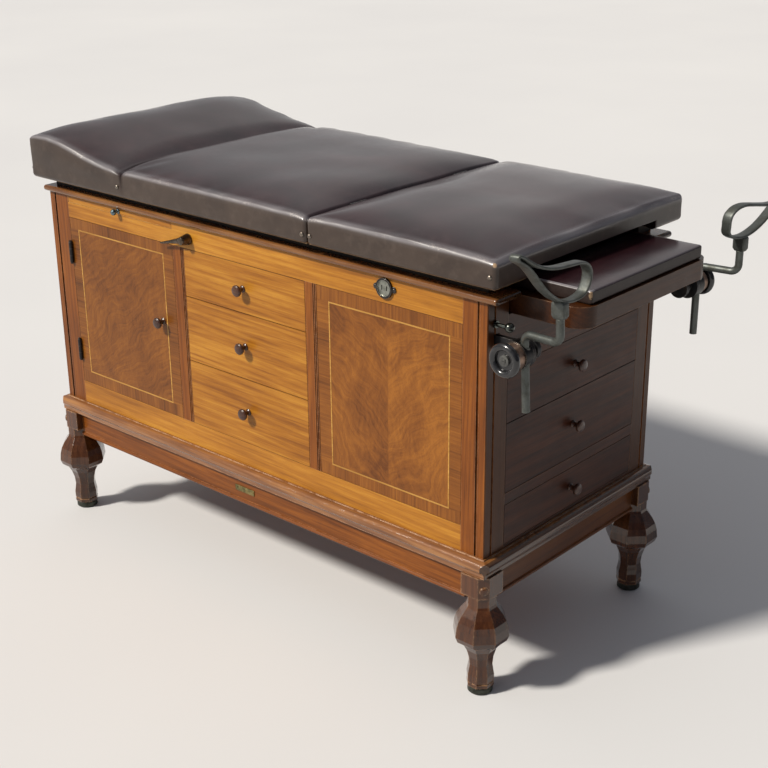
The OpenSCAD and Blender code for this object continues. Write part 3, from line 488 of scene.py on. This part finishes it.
def clamp_material(node):
    """Black drum that grips the rod, bronze collar under the handwheel."""
    s = Graph(node)
    drum = 0.0203
    lo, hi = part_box(node)
    y = s.split(s.co)[1]
    if node.endswith("front"):
        collar = s.math("LESS_THAN", y, hi.y - drum)
    else:
        collar = s.math("GREATER_THAN", y, lo.y + drum)
    cloud = s.noise(s.co, 80, 5.0, 0.65)
    black = s.ramp(cloud, [(0.35, (0.010, 0.010, 0.011)), (0.7, (0.030, 0.028, 0.028))])
    warm = s.ramp(cloud, [(0.35, (0.16, 0.095, 0.065)), (0.7, (0.34, 0.23, 0.17))])
    color = s.mix(collar, black, warm)
    color = s.mix(s.math("MULTIPLY", s.edge(0.0012), 0.6), color, (0.36, 0.30, 0.25))
    rough = s.math("MULTIPLY_ADD", cloud, 0.35, 0.16)
    return s.finish(color, rough, s.bump(cloud, 0.2, 0.0003, s.rounded(0.0006)), Metallic=0.8)


def wheel_material(node):
    """Black enamelled rim, worn grey hub."""
    s = Graph(node)
    hub_radius = 0.0098
    off_hub = s.band(off_axis(s, node), hub_radius - 0.0004, hub_radius + 0.0004)
    hub = s.math("SUBTRACT", 1.0, off_hub)
    cloud = s.noise(s.co, 90, 5.0, 0.65)
    rim = s.ramp(cloud, [(0.35, (0.008, 0.008, 0.009)), (0.7, (0.022, 0.022, 0.024))])
    grey = s.ramp(cloud, [(0.35, (0.03, 0.03, 0.028)), (0.7, (0.09, 0.09, 0.082))])
    color = s.mix(hub, rim, grey)
    return s.finish(color, s.math("MULTIPLY_ADD", cloud, 0.3, 0.08), s.bump(cloud, 0.1, 0.0003),
                    Coat_Weight=0.5, Coat_Roughness=0.1, Metallic=0.25)


# ---------------------------------------------------------------- materials of the CAD nodes
def dress(node, mat):
    """One material for a CAD node."""
    o = nodes[node]
    o.data.materials.clear()
    o.data.materials.append(mat)


def dress_wood(node, grain, seed, palette, **finish):
    """A wood of its own, named after the node."""
    dress(node, wood(node, grain, seed, *palette, **finish))


RUBBED = (0.4, 0.2, 0.1)
for i, n in enumerate(("leg_front_head", "leg_front_foot", "leg_back_head", "leg_back_foot")):
    dress_wood(n, "z", 3.1 + i, RED, ring=70, rough=0.22, coat=0.8, wear=(0.55, 0.31, 0.15), radius=0.002,
               spec=0.15, coat_rough=0.08, wear_width=0.0055)
# the apron, mouldings and posts get painted shade on their faces turned to the foot end
dress_wood("apron", "frame", 8.2, WALNUT, ring=80, wear=RUBBED, foot=0.5)
dress_wood("base_moulding", "frame", 5.7, EDGING, rough=0.22, coat=0.55, wear=(0.62, 0.40, 0.26), spec=0.4,
           foot=0.7, coat_rough=0.12)
dress_wood("crown_moulding", "frame", 6.4, CROWN, rough=0.28, coat=0.6, wear=(0.50, 0.31, 0.16), foot=0.8,
           coat_rough=0.12)
dress_wood("posts", "z", 1.3, WALNUT, ring=110, wear=RUBBED, foot=0.7)
dress_wood("carcass_panels", "z", 4.9, WALNUT, rough=0.42, coat=0.05)
dress_wood("dividers", "y", 7.7, INNER, rough=0.65, coat=0.0)
dress_wood("slide_guides", "x", 2.7, INNER, rough=0.65, coat=0.0)
dress_wood("back_base", "x", 9.7, INNER, rough=0.6, coat=0.0)
dress_wood("seat_base", "x", 9.1, INNER, rough=0.6, coat=0.0)
dress_wood("slide_board", "x", 12.3, HONEY, rough=0.4, wear=(0.6, 0.4, 0.2))
dress_wood("leg_rest_frame", "y", 14.2, REST, rough=0.33, wear=(0.3, 0.16, 0.08))
dress_wood("deck", "x", 15.5, DECK, rough=0.6, coat=0.0)
dress("rails", rails_material())
dress("front_panel", figured("front_panel", "panel_string_inlay", 2.3, True, 1.05))
dress("door", figured("door", "door_string_inlay", 7.9, False, 0.95))

# where the drawers' boxes begin behind their fronts
front_box = (1, "GREATER_THAN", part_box("door")[1].y + 0.0005)
end_box = (0, "LESS_THAN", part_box("end_drawer_top")[1].x - END_FRONT)
turned = {"ring": 160, "rough": 0.32, "coat": 0.3, "radius": 0.0006, "grime": 0.8, "spec": 0.35}
for i, (k, ring) in enumerate((("top", 62), ("middle", 84), ("bottom", 58))):
    front, end = f"drawer_{k}", f"end_drawer_{k}"
    dress(front, faced(front, "x", 21.3 + 4.1 * i, HONEY, front_box, ring))
    # the foot end's drawers take walnut darkened as painted shade
    dress(end, faced(end, "y", 33.3 + 2.7 * i, WALNUT_IN_SHADE, end_box, 80, rough=0.42, coat=0.05))
    dress_wood(f"knob_{k}", "y", 40.0 + i, KNOB, wear=(0.16, 0.08, 0.045), **turned)
    dress_wood(f"end_knob_{k}", "x", 40.0 + i, KNOB, wear=(0.16, 0.08, 0.045), **turned)
dress_wood("door_knob", "y", 44.0, KNOB, wear=(0.3, 0.17, 0.09), **turned)
string = wood("string", "frame", 50.0, *BOXWOOD, rough=0.38)
for n in ("panel_string_inlay", "door_string_inlay"):
    dress(n, string)

iron = metal("black_iron", (0.018, 0.018, 0.02), 1.0, rough=0.42, metallic=0.6,
             spots=(0.05, 0.035, 0.025), amount=0.4, edge=(0.16, 0.15, 0.14))
ferrule = metal("ferrule_iron", (0.055, 0.06, 0.05), 2.0, rough=0.5, metallic=0.85,
                spots=(0.02, 0.018, 0.012), amount=0.7, edge=(0.2, 0.19, 0.15))
steel = metal("grey_steel", (0.092, 0.100, 0.094), 3.0, rough=0.48, metallic=0.75,
              spots=(0.05, 0.048, 0.035), amount=0.6, bump=0.4, edge=(0.32, 0.33, 0.29))
bluish = metal("slide_knob_steel", (0.18, 0.25, 0.28), 5.0, rough=0.25, metallic=0.95,
               spots=(0.03, 0.04, 0.05), amount=0.6)
bronze = metal("lever_bronze", (0.11, 0.085, 0.065), 6.0, rough=0.28, metallic=0.95,
               spots=(0.03, 0.02, 0.015), amount=0.5, edge=(0.34, 0.28, 0.22))
brass = metal("plate_brass", (0.30, 0.24, 0.10), 7.0, rough=0.42, metallic=0.9,
              spots=(0.06, 0.07, 0.03), amount=0.8)
for n in ("door_hinge_fixed", "door_hinge_leaf", "seat_hinge", "back_ironwork", "arm_front", "arm_back"):
    dress(n, iron)
for n in ("plunger_front", "plunger_back"):
    dress(n, metal(n, (0.10, 0.11, 0.10), 9.0, rough=0.2, metallic=0.95,
                   spots=(0.03, 0.025, 0.02), amount=0.5))
dress("ferrules", ferrule)
dress("outlet", outlet_material())
dress("slide_knob", bluish)
dress("lever", bronze)
dress("blank_plate", brass)
for n in ("rod_front", "rod_back", "bush_front", "bush_back"):
    dress(n, steel)
for n in ("clamp_front", "clamp_back"):
    dress(n, clamp_material(n))
for n in ("wheel_front", "wheel_back"):
    dress(n, wheel_material(n))


# ---------------------------------------------------------------- meshes
def mesh_object(name, verts, faces, smooth=True):
    """A new object from vertices in metres."""
    me = bpy.data.meshes.new(name)
    me.from_pydata([tuple(v) for v in verts], [], faces)
    me.validate()
    me.update()
    if smooth:
        me.polygons.foreach_set("use_smooth", [True] * len(me.polygons))
    o = bpy.data.objects.new(name, me)
    scene.collection.objects.link(o)
    return o


def grid_lines(lo, hi, r, step, extra=()):
    """Coordinates along one side of a padded box, close together round its corners."""
    # the tangents of four even steps up to 45 degrees
    turn_in = [0, 0.199, 0.414, 0.668, 1.0]
    first = [lo + r * (1 - t) for t in reversed(turn_in)]
    last = [hi - r * (1 - t) for t in turn_in]
    n = max(1, round((last[0] - first[-1]) / step))
    inner = [first[-1] + (last[0] - first[-1]) * i / n for i in range(1, n)]
    return sorted(set([round(v, 4) for v in first + inner + last]) | set(extra))


def skin_of_box(xs, ys, zs):
    """Vertices and outward quads of the closed surface of a lattice."""
    index, verts, faces = {}, [], []
    size = (len(xs) - 1, len(ys) - 1, len(zs) - 1)

    def vertex(i, j, k):
        if (i, j, k) not in index:
            index[i, j, k] = len(verts)
            verts.append((xs[i], ys[j], zs[k]))
        return index[i, j, k]

    for axis in range(3):
        u, v = (axis + 1) % 3, (axis + 2) % 3
        for end in (0, size[axis]):
            for a in range(size[u]):
                for b in range(size[v]):
                    ring = []
                    for da, db in ((0, 0), (1, 0), (1, 1), (0, 1)):
                        c = [0, 0, 0]
                        c[axis], c[u], c[v] = end, a + da, b + db
                        ring.append(vertex(*c))
                    faces.append(ring if end else ring[::-1])
    return np.array(verts), faces


def soft_box(lo, hi, r, step, zstep, extra_x=()):
    """A box with rounded edges, in cabinet millimetres, ready to be shaped."""
    xs = grid_lines(lo[0], hi[0], r, step, extra_x)
    ys = grid_lines(lo[1], hi[1], r, step)
    zs = grid_lines(lo[2], hi[2], r, zstep)
    v, faces = skin_of_box(xs, ys, zs)
    q = np.clip(v, np.array(lo) + r, np.array(hi) - r)
    d = v - q
    n = np.linalg.norm(d, axis=1)
    v = q + d * (r / np.maximum(n, 1e-9))[:, None]
    return v, faces


def smooth(t):
    """0 up to 0, 1 from 1, smooth between."""
    t = np.clip(t, 0, 1)
    return t * t * (3 - 2 * t)


def ripple(v, scale, seed):
    """Smooth noise, about -1 to 1, at points in millimetres."""
    return np.array([noise.noise(Vector((p[0] * scale + seed, p[1] * scale, p[2] * scale))) for p in v])


def swell(o, hold, cap, pressure=4.0):
    """Blows the cover up with cloth; hold is each vertex's pin weight, cap the furthest move in metres."""
    rest = np.array([v.co for v in o.data.vertices])
    group = o.vertex_groups.new(name="hold")
    for i, w in enumerate(hold):
        group.add([i], float(w), "REPLACE")
    m = o.modifiers.new("cloth", "CLOTH")
    c = m.settings
    c.quality = 4
    c.mass = 0.35
    c.tension_stiffness = c.compression_stiffness = 12
    c.bending_stiffness = 2.5
    c.use_pressure = True
    c.uniform_pressure_force = pressure
    c.vertex_group_mass = "hold"
    c.effector_weights.gravity = 0
    m.collision_settings.use_collision = False
    m.point_cache.frame_start = 1
    m.point_cache.frame_end = 20
    for f in range(m.point_cache.frame_start, m.point_cache.frame_end + 1):
        scene.frame_set(f)
    solved = o.evaluated_get(bpy.context.evaluated_depsgraph_get())
    now = np.array([v.co for v in solved.data.vertices])
    o.modifiers.remove(m)
    o.vertex_groups.remove(group)
    scene.frame_set(1)
    move = now - rest
    far = np.linalg.norm(move, axis=1)
    move *= (cap * np.tanh(far / cap) / np.maximum(far, 1e-9))[:, None]
    o.data.vertices.foreach_set("co", (rest + move).ravel())
    o.data.update()
    print("swell", o.name, "largest move mm", round(float(far.max()) * 1000, 2))


def paint(o, **weights):
    """Stores weights per vertex under the names that the leather reads."""
    for key, w in weights.items():
        a = o.data.attributes.new(key, "FLOAT", "POINT")
        a.data.foreach_set("value", np.clip(w, 0, 1).astype(np.float32))


COVER = leather("leather")
# the cushions' half width, their foot, the upper edge of their skirts and their ends
(head_x, back_x), (_, W), (BASE_Z, _) = spans("back_cushion")
(seat_x, foot_x), _, _ = spans("seat_cushion")
EDGE_Z = 842.0
HEAD = float(round(head_x))
FOOT = float(round(foot_x))
SPLIT = float(round((back_x + seat_x) / 2))
GAP = 0.6
CREASE = -333.0
# half width of the base boards' recess under the covers
RECESS = 278.0


# heights of the covers' long edges at x, and how much higher their middles are
BACK_EDGE = [(HEAD, 877), (-600, 881.5), (-560, 882.5), (-520, 878), (-480, 869.5), (-440, 860),
             (-400, 852.5), (-365, 848), (-340, 846), (-325, 845.5), (160, 842.5), (187, 842),
             (200, 840.2), (SPLIT - GAP, 837.7)]
BACK_CROWN = [(HEAD, 3), (-615, 8), (-600, 13.5), (-575, 17), (-520, 18), (-440, 17), (-380, 14),
              (-345, 12), (-300, 15), (60, 18), (130, 17), (170, 13), (190, 8.5), (200, 4),
              (SPLIT - GAP, 0.8)]
SEAT_EDGE = [(SPLIT + GAP, 837.7), (214, 840.2), (227, 842), (260, 842.5), (560, 841.5), (610, 840.5),
             (626, 839.2), (FOOT, 836.5)]
SEAT_CROWN = [(SPLIT + GAP, 0.8), (214, 4), (224, 8.5), (245, 13.5), (290, 17.5), (360, 19), (480, 19),
              (560, 17), (600, 12), (618, 7.5), (628, 4), (FOOT, 1.5)]


def domed(x, y, edge, crown):
    """Height of a cover that is crowned between its long edges."""
    across = 1 - (np.abs(y) / W) ** 4
    return np.interp(x, *zip(*edge)) + np.interp(x, *zip(*crown)) * across


def crease_x(y):
    """The crease under the pillow turns towards the foot end near the edges."""
    return CREASE + 19 * np.abs(y / W) ** 7


def back_top(x, y):
    """Height of the back section's cover, with its pillow at the head, and how deep in the crease
    a point is, from 0 to 1."""
    past = x - crease_x(y)
    valley = np.where(past > 0, np.exp(-(past / 8.0) ** 2), np.exp(-(past / 20.0) ** 2))
    depth = 4.5 + 6.5 * (1 - (np.abs(y) / W) ** 3)
    return domed(x, y, BACK_EDGE, BACK_CROWN) - valley * depth, valley


def seat_top(x, y):
    """Height of the seat section's cover, which has no crease."""
    return domed(x, y, SEAT_EDGE, SEAT_CROWN), np.zeros_like(x)


def cushion(name, x0, x1, top, body, replaced, seed, tears):
    """A padded cover from x0 to x1 under the height given by top. tears are places of bare hide,
    each x, y, z and the reach along x, y and z."""
    # radius of the upper and lower edges
    r = 9.0
    lo, hi = (x0, -W, BASE_Z), (x1, W, EDGE_Z)
    near = [CREASE + d for d in range(-9, 10, 3)] if x0 < CREASE else []
    v, faces = soft_box(lo, hi, r, 9.0, 6.0, extra_x=near)
    lift = np.clip((v[:, 2] - BASE_Z - 8) / (EDGE_Z - r - BASE_Z - 8), 0, 1)
    z_top, valley = top(v[:, 0], v[:, 1])
    on_top = smooth((v[:, 2] - (EDGE_Z - r)) / r)
    # puckers along the top edge and slow dents over the whole cover
    edge_near = np.exp(-((W - np.abs(v[:, 1])) / 26.0) ** 2)
    pucker = ripple(v * np.array([1, 0.4, 0.4]), 0.028, seed) * 2.2 * edge_near
    dent = ripple(v * np.array([1, 1, 0]), 0.0085, seed + 40) * 2.0
    z = v[:, 2] + lift * (z_top - EDGE_Z) + on_top * (pucker + dent)
    v = np.c_[v[:, :2], z]
    # the skirts bow a little between their edges
    height = np.clip((v[:, 2] - BASE_Z) / (EDGE_Z - BASE_Z), 0, 1)
    bow = 1.0 * np.sin(math.pi * height) - 0.8 * on_top * edge_near
    wave = ripple(v * np.array([1, 1, 0.3]), 0.012, seed + 80) * 1.2
    side_y = np.abs(v[:, 1]) > W - r - 0.5
    side_x = (v[:, 0] < x0 + r + 0.5) | (v[:, 0] > x1 - r - 0.5)
    v[:, 1] += np.where(side_y, np.sign(v[:, 1]) * (wave * height - bow * 0.6), 0)
    outer = (v[:, 0] < HEAD + r + 0.5) | (v[:, 0] > FOOT - r - 0.5)
    v[:, 0] += np.where(outer, np.sign(v[:, 0]) * (wave * height - bow * 0.6), 0)
    # the bottom sits up inside its rim, round the board
    rim = W - RECESS
    inside = (np.abs(v[:, 1]) < RECESS) & (v[:, 0] > x0 + rim) & (v[:, 0] < x1 - rim)
    v[(v[:, 2] < BASE_Z + 0.6) & inside, 2] += 3.0
    o = mesh_object(name, [place(*p) for p in v], faces)
    # held at the foot, in the crease and at the ends, less so along the top edge
    hold = np.where(v[:, 2] < BASE_Z + 30, 1.0, 0.0)
    hold = np.maximum(hold, smooth((valley - 0.55) / 0.3) * 0.9)
    ends = np.minimum(v[:, 0] - x0, x1 - v[:, 0])
    hold = np.maximum(hold, np.where((ends < 9) & (np.abs(v[:, 1]) < W + 5), 0.8, 0.0))
    hold = np.maximum(hold, np.where(edge_near * on_top > 0.8, 0.35, 0))
    swell(o, hold, 0.005)
    side = np.where(side_y | side_x, 1 - smooth((v[:, 2] - (z_top - r * 0.95)) / (0.8 * r)), 0)
    side = np.where(v[:, 2] < z_top - r * 1.3, 1.0, side)
    # a rubbed band along the top edges, also a painted highlight
    worn = np.exp(-((v[:, 2] - (z_top - 3.4)) / 4.2) ** 2) * (side_y | (side_x & outer))
    worn = worn * (1 - 0.9 * smooth(valley))
    # painted shade along the crease under the pillow
    crease_shade = np.exp(-((z_top - v[:, 2]) / 30.0) ** 2) * smooth((valley - 0.78) / 0.16)
    tan = np.zeros(len(v))
    for tx, ty, tz, size in tears:
        tan = np.maximum(tan, 1.15 - np.linalg.norm((v - np.array((tx, ty, tz))) / np.array(size), axis=1))
    paint(o, worn=worn, skirt=side, seam=crease_shade, tan=tan)
    o.data.materials.append(COVER)
    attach(o, body)
    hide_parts(replaced)
    return o


cushion("back_section_cover", HEAD, SPLIT - GAP, back_top, "back_section", "back_cushion", 1.5,
        [(-329, -290, 846, (7, 9, 6))])
seat_pad = cushion("seat_section_cover", SPLIT + GAP, FOOT, seat_top, "cabinet", "seat_cushion", 7.5,
                   [(632, -289, 836, (9, 9, 11)), (634, -290, 800, (5, 6, 16)), (632, 289, 836, (8, 8, 9))])


def cut(o, lo, hi):
    """Takes a box, in cabinet millimetres, out of a piece."""
    v, f = skin_of_box([lo[0], hi[0]], [lo[1], hi[1]], [lo[2], hi[2]])
    tool = mesh_object("cutter", [place(*p) for p in v], f, smooth=False)
    m = o.modifiers.new("cut", "BOOLEAN")
    m.operation = "DIFFERENCE"
    m.object = tool
    m.solver = "EXACT"
    me = bpy.data.meshes.new_from_object(o.evaluated_get(bpy.context.evaluated_depsgraph_get()))
    o.modifiers.remove(m)
    o.data = me
    bpy.data.objects.remove(tool)


# the leg rest passes through a notch in the foot end's skirt
cut(seat_pad, (600, -192, 780), (640, 192, 808))


def rest_pad():
    """Thin pad on the leg rest."""
    (x0, x1), (_, w), (z0, cad_top) = spans("leg_rest_pad")
    z1 = round(cad_top - 0.3, 1)
    r = 5.0
    v, faces = soft_box((x0, -w, z0), (x1, w, z1), r, 9.0, 5.0)
    end = np.minimum(v[:, 0] - x0, x1 - v[:, 0])
    side_edge = w - np.abs(v[:, 1])
    on_top = smooth((v[:, 2] - (z1 - r)) / r)
    wave = ripple(v, 0.012, 3.3)
    v[:, 2] += on_top * (-0.7 + 0.7 * wave * np.clip(end / 30, 0, 1))
    o = mesh_object("leg_rest_cover", [place(*p) for p in v], faces)
    hold = np.where(v[:, 2] < z0 + 18, 1.0, 0.0)
    hold = np.maximum(hold, np.where((end < 6) | (side_edge < 6), 0.6, 0.0))
    swell(o, hold, 0.0008, 2.0)
    side = np.where(v[:, 2] < z1 - r * 0.8, 1.0, 0.0)
    rim = np.exp(-((v[:, 2] - (z1 - 1.5)) / 2.5) ** 2) * ((end < r) | (side_edge < r))
    # the rubbed rim, also a painted highlight, strongest along the front long edge
    worn = rim * np.where(v[:, 1] < -w + 8, 1, 0.3)
    # one torn corner
    tan = 1.15 - np.linalg.norm((v - np.array((741, -175, 778))) / np.array((6, 6, 12)), axis=1)
    # the skirt also gets painted shade
    paint(o, worn=worn, skirt=side * 0.8, seam=0.6 * side, tan=tan)
    o.data.materials.append(COVER)
    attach(o, "leg_rest")
    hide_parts("leg_rest_pad")


rest_pad()


# ---------------------------------------------------------------- turned pieces, upholstery nails
def turned_faces(rings, around, closed):
    """Quads between neighbouring rings of points."""
    faces = []
    for i in range(rings if closed else rings - 1):
        for k in range(around):
            j, after = (i + 1) % rings, (k + 1) % around
            faces.append((i * around + k, i * around + after, j * around + after, j * around + k))
    return faces


def end_faces(rings, around):
    """The two flat ends of a stack of rings."""
    return [tuple(reversed(range(around))), tuple(range((rings - 1) * around, rings * around))]


def lathe(name, profile, steps, origin, axis):
    """A turned piece: profile is (radius, height) in millimetres along axis from origin."""
    verts = []
    for r, h in profile:
        for k in range(steps):
            a = 2 * math.pi * k / steps
            verts.append((r * math.cos(a), r * math.sin(a), h))
    faces = turned_faces(len(profile), steps, False) + end_faces(len(profile), steps)
    q = Vector((0, 0, 1)).rotation_difference(Vector(axis))
    pts = [place(*origin) + q @ (Vector(v) * MM) for v in verts]
    return mesh_object(name, pts, faces)


NAIL = [(4.6, -0.6), (4.7, 0.1), (4.3, 1.2), (3.2, 2.2), (1.7, 2.8), (0.4, 3.0)]
nail_steel = metal("nail_steel", (0.22, 0.19, 0.16), 12.0, rough=0.35, metallic=0.9,
                   spots=(0.06, 0.04, 0.03), amount=0.7, edge=(0.5, 0.45, 0.4))


def nails(name, body, spots):
    """Dome nails at (x, y, z, axis), joined into one piece."""
    parts = [lathe(f"{name}_{i}", NAIL, 16, s[:3], s[3]) for i, s in enumerate(spots)]
    bpy.ops.object.select_all(action="DESELECT")
    for p in parts:
        p.select_set(True)
    bpy.context.view_layer.objects.active = parts[0]
    bpy.ops.object.join()
    o = parts[0]
    o.name = name
    o.data.materials.append(nail_steel)
    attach(o, body)


# the nails' heads sit this far into the skirts
SUNK = 0.2
HEADWARD = (-1, 0, 0)
head_end = HEAD + SUNK
back_nails = []
seat_nails = []
for s in (-1, 1):
    face = (0, s, 0)
    y = s * (W - SUNK)
    back_nails += [(-328, y, 812, face), (197, y, 808, face)]
    back_nails += [(head_end, s * 281, z, HEADWARD) for z in (858, 808)]
    seat_nails += [(216.5, y, 807.5, face), (622, y, 812, face)]
back_nails += [(head_end, y, 806, HEADWARD) for y in (-90, 90)]
nails("back_section_nails", "back_section", back_nails)
nails("seat_section_nails", "cabinet", seat_nails)


# ---------------------------------------------------------------- heel loops
# the strap's middle line, from the socket round and back: x and y from the socket's axis, z from the
# floor, before the stirrup is lifted, leans or turns
LOOP = [(0, 4.9, 789.6), (0, 21.9, 786.3), (0, 35.5, 785.9), (1, 49.1, 788.4), (2, 57.8, 793.5),
        (4, 63.2, 803.6), (5, 66.8, 814.6), (6, 65.8, 826.3), (8, 55.5, 838.4), (10, 38, 846.2),
        (12, 16.3, 849.4), (13, -9.5, 851.8), (13, -33.5, 854.3), (12, -57.7, 859.5), (9, -77.9, 867.4),
        (6, -91.1, 875.4), (3, -102.5, 883.7), (1, -109.5, 888), (-1, -113.4, 886.1), (-1, -111.5, 880.9),
        (0, -103.6, 875.9), (0, -89.8, 866.6), (0, -75.9, 853.1), (0, -61.9, 836.8), (0, -46.8, 821.1),
        (0, -31.1, 808.2), (0, -12.8, 797)]
# the clamp's pivot in x and z, the rod's upright in x and y, and the crank from there to the socket
PIVOT = (670.0, 683.0)
UPRIGHT = (683.5, -272.0)
CRANK = 78.3
CRANK_ANGLE = math.radians(8)
SOCKET = (UPRIGHT[0] + CRANK * math.cos(CRANK_ANGLE), UPRIGHT[1] - CRANK * math.sin(CRANK_ANGLE))
SOCKET_MID = 776.0
# how each stirrup stands at rest: raised in millimetres, then leaning, tipped and turned in degrees
LIFT = {"front": 4.0, "back": -8.0}
LEAN = {"front": 3.0, "back": 0.0}
TIP = {"front": 0.0, "back": 15.0}
TURN = {"front": 0.0, "back": 7.0}
STRAP_HALF = (10.0, 2.85)


def stirrup_point(side, p, tipped):
    """A point given from the socket's axis, set as this side's stirrup stands."""
    q = Vector((p[0], p[1], p[2] - SOCKET_MID))
    if tipped:
        q = Matrix.Rotation(math.radians(TIP[side]), 3, "X") @ q
    q = Matrix.Rotation(math.radians(TURN[side]), 3, "Z") @ q
    q += Vector((SOCKET[0] - PIVOT[0], SOCKET[1], SOCKET_MID - PIVOT[1]))
    q = Matrix.Rotation(math.radians(-LEAN[side]), 3, "Y") @ q
    return place(q.x + PIVOT[0], q.y if side == "front" else -q.y, q.z + PIVOT[1] + LIFT[side])


def squared_ring(half_x, half_y, power_x, power_y, steps):
    """A closed outline between an ellipse, power 1, and a rectangle, power 0."""
    ring = []
    for k in range(steps):
        c, q = math.cos(2 * math.pi * k / steps), math.sin(2 * math.pi * k / steps)
        ring.append((half_x * math.copysign(abs(c) ** power_x, c),
                     half_y * math.copysign(abs(q) ** power_y, q)))
    return ring


def loop_path(fine=6):
    """LOOP as a smooth closed curve, with fine points for each of its own."""
    path = []
    for i in range(len(LOOP)):
        p0, p1, p2, p3 = (np.array(LOOP[(i + k) % len(LOOP)], float) for k in (-1, 0, 1, 2))
        for j in range(fine):
            t = j / fine
            path.append(0.5 * (2 * p1 + (p2 - p0) * t + (2 * p0 - 5 * p1 + 4 * p2 - p3) * t * t
                               + (3 * p1 - p0 - 3 * p2 + p3) * t ** 3))
    return path


def loop_strap(side):
    """The flat strap, swept along its path with its width across."""
    path = loop_path()
    around = 24
    verts = []
    for i, p in enumerate(path):
        t = path[(i + 1) % len(path)] - path[i - 1]
        t = t[1:] / np.linalg.norm(t[1:])
        for a, b in squared_ring(*STRAP_HALF, 0.5, 0.7, around):
            verts.append(stirrup_point(side, (p[0] + a, p[1] - t[1] * b, p[2] + t[0] * b), True))
    return mesh_object(f"heel_loop_{side}", verts, turned_faces(len(path), around, True))


def loop_socket(side):
    """Socket block: rounded square rings, drawn in at the foot and rising into the strap."""
    rings = [(4.7, 4.7, 762.0), (8.6, 5.6, 762.0), (9.6, 6.4, 762.6), (12.1, 8.0, 766.6), (12.6, 8.5, 768.2),
             (12.6, 8.5, 786.5), (12.0, 8.1, 788.6), (10.4, 7.4, 790.2), (8.4, 6.6, 791.8), (5.0, 5.0, 792.6)]
    around = 40
    verts = []
    for half_x, half_y, z in rings:
        power = 0.28 if half_x > 5 else 1.0
        for x, y in squared_ring(half_x, half_y, power, power, around):
            verts.append(stirrup_point(side, (x, y, z), False))
    faces = turned_faces(len(rings), around, False) + end_faces(len(rings), around)
    return mesh_object(f"heel_loop_socket_{side}", verts, faces)


def heel_loop(side):
    """Both pieces of one stirrup's heel loop, in place of its CAD node."""
    for o in (loop_strap(side), loop_socket(side)):
        bm = bmesh.new()
        bm.from_mesh(o.data)
        bmesh.ops.recalc_face_normals(bm, faces=bm.faces)
        bm.to_mesh(o.data)
        bm.free()
        o.data.materials.append(steel)
        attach(o, f"loop_{side}")
        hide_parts(f"loop_{side}")
        m = o.modifiers.new("smooth", "EDGE_SPLIT")
        m.split_angle = math.radians(50)


for side in ("front", "back"):
    heel_loop(side)


# ---------------------------------------------------------------- floor, light
FLOOR_HALF = 40.0


def floor():
    """A plain pale floor that runs far past the object."""
    s = Graph("floor")
    c = s.noise(s.co, 0.6, 3.0, 0.5)
    pale = s.ramp(c, [(0.3, (0.60, 0.60, 0.605)), (0.7, (0.63, 0.63, 0.63))])
    s.finish(pale, 0.85, Specular_IOR_Level=0.1)
    v = [(FLOOR_HALF * x, FLOOR_HALF * y, 0) for x, y in ((-1, -1), (1, -1), (1, 1), (-1, 1))]
    o = mesh_object("floor", v, [(0, 1, 2, 3)])
    o.data.materials.append(s.mat)


floor()


def sun(name, direction, energy, color, angle):
    """A far light; angle is how wide it looks, in degrees, which softens its shadows."""
    light = bpy.data.lights.new(name, "SUN")
    light.energy = energy
    light.color = color
    light.angle = math.radians(angle)
    o = bpy.data.objects.new(name, light)
    o.rotation_euler = Vector(direction).to_track_quat("-Z", "Y").to_euler()
    scene.collection.objects.link(o)


sun("key", direction=(0.42, 0.86, -0.88), energy=4.6, color=(1.0, 0.94, 0.85), angle=7)

# the studio's walls: dark beyond the foot end, brightest towards the head end, duller beyond that
SKY = ((0.0, (0.055, 0.064, 0.095)), (0.55, (0.50, 0.51, 0.54)),
       (0.75, (0.68, 0.665, 0.66)), (0.9, (0.42, 0.42, 0.43)))
SKY_STRENGTH = 0.9


def studio():
    """Soft light from all round, which changes only from the foot end to the head end."""
    world = bpy.data.worlds.new("studio")
    world.use_nodes = True
    scene.world = world
    tree = world.node_tree
    tree.nodes.clear()
    out = tree.nodes.new("ShaderNodeOutputWorld")
    background = tree.nodes.new("ShaderNodeBackground")
    coordinates = tree.nodes.new("ShaderNodeTexCoord")
    xyz = tree.nodes.new("ShaderNodeSeparateXYZ")
    headward = tree.nodes.new("ShaderNodeMapRange")
    ramp = tree.nodes.new("ShaderNodeValToRGB")
    for socket, value in zip(headward.inputs, (0, -1.0, 0.8, 1.0, 0.0)):
        socket.default_value = value
    for _ in SKY[2:]:
        ramp.color_ramp.elements.new(0.5)
    for e, (position, color) in zip(ramp.color_ramp.elements, SKY):
        e.position = position
        e.color = (*color, 1)
    background.inputs["Strength"].default_value = SKY_STRENGTH
    tree.links.new(coordinates.outputs["Generated"], xyz.inputs[0])
    tree.links.new(xyz.outputs["X"], headward.inputs["Value"])
    tree.links.new(headward.outputs[0], ramp.inputs[0])
    tree.links.new(ramp.outputs[0], background.inputs["Color"])
    tree.links.new(background.outputs[0], out.inputs[0])


studio()
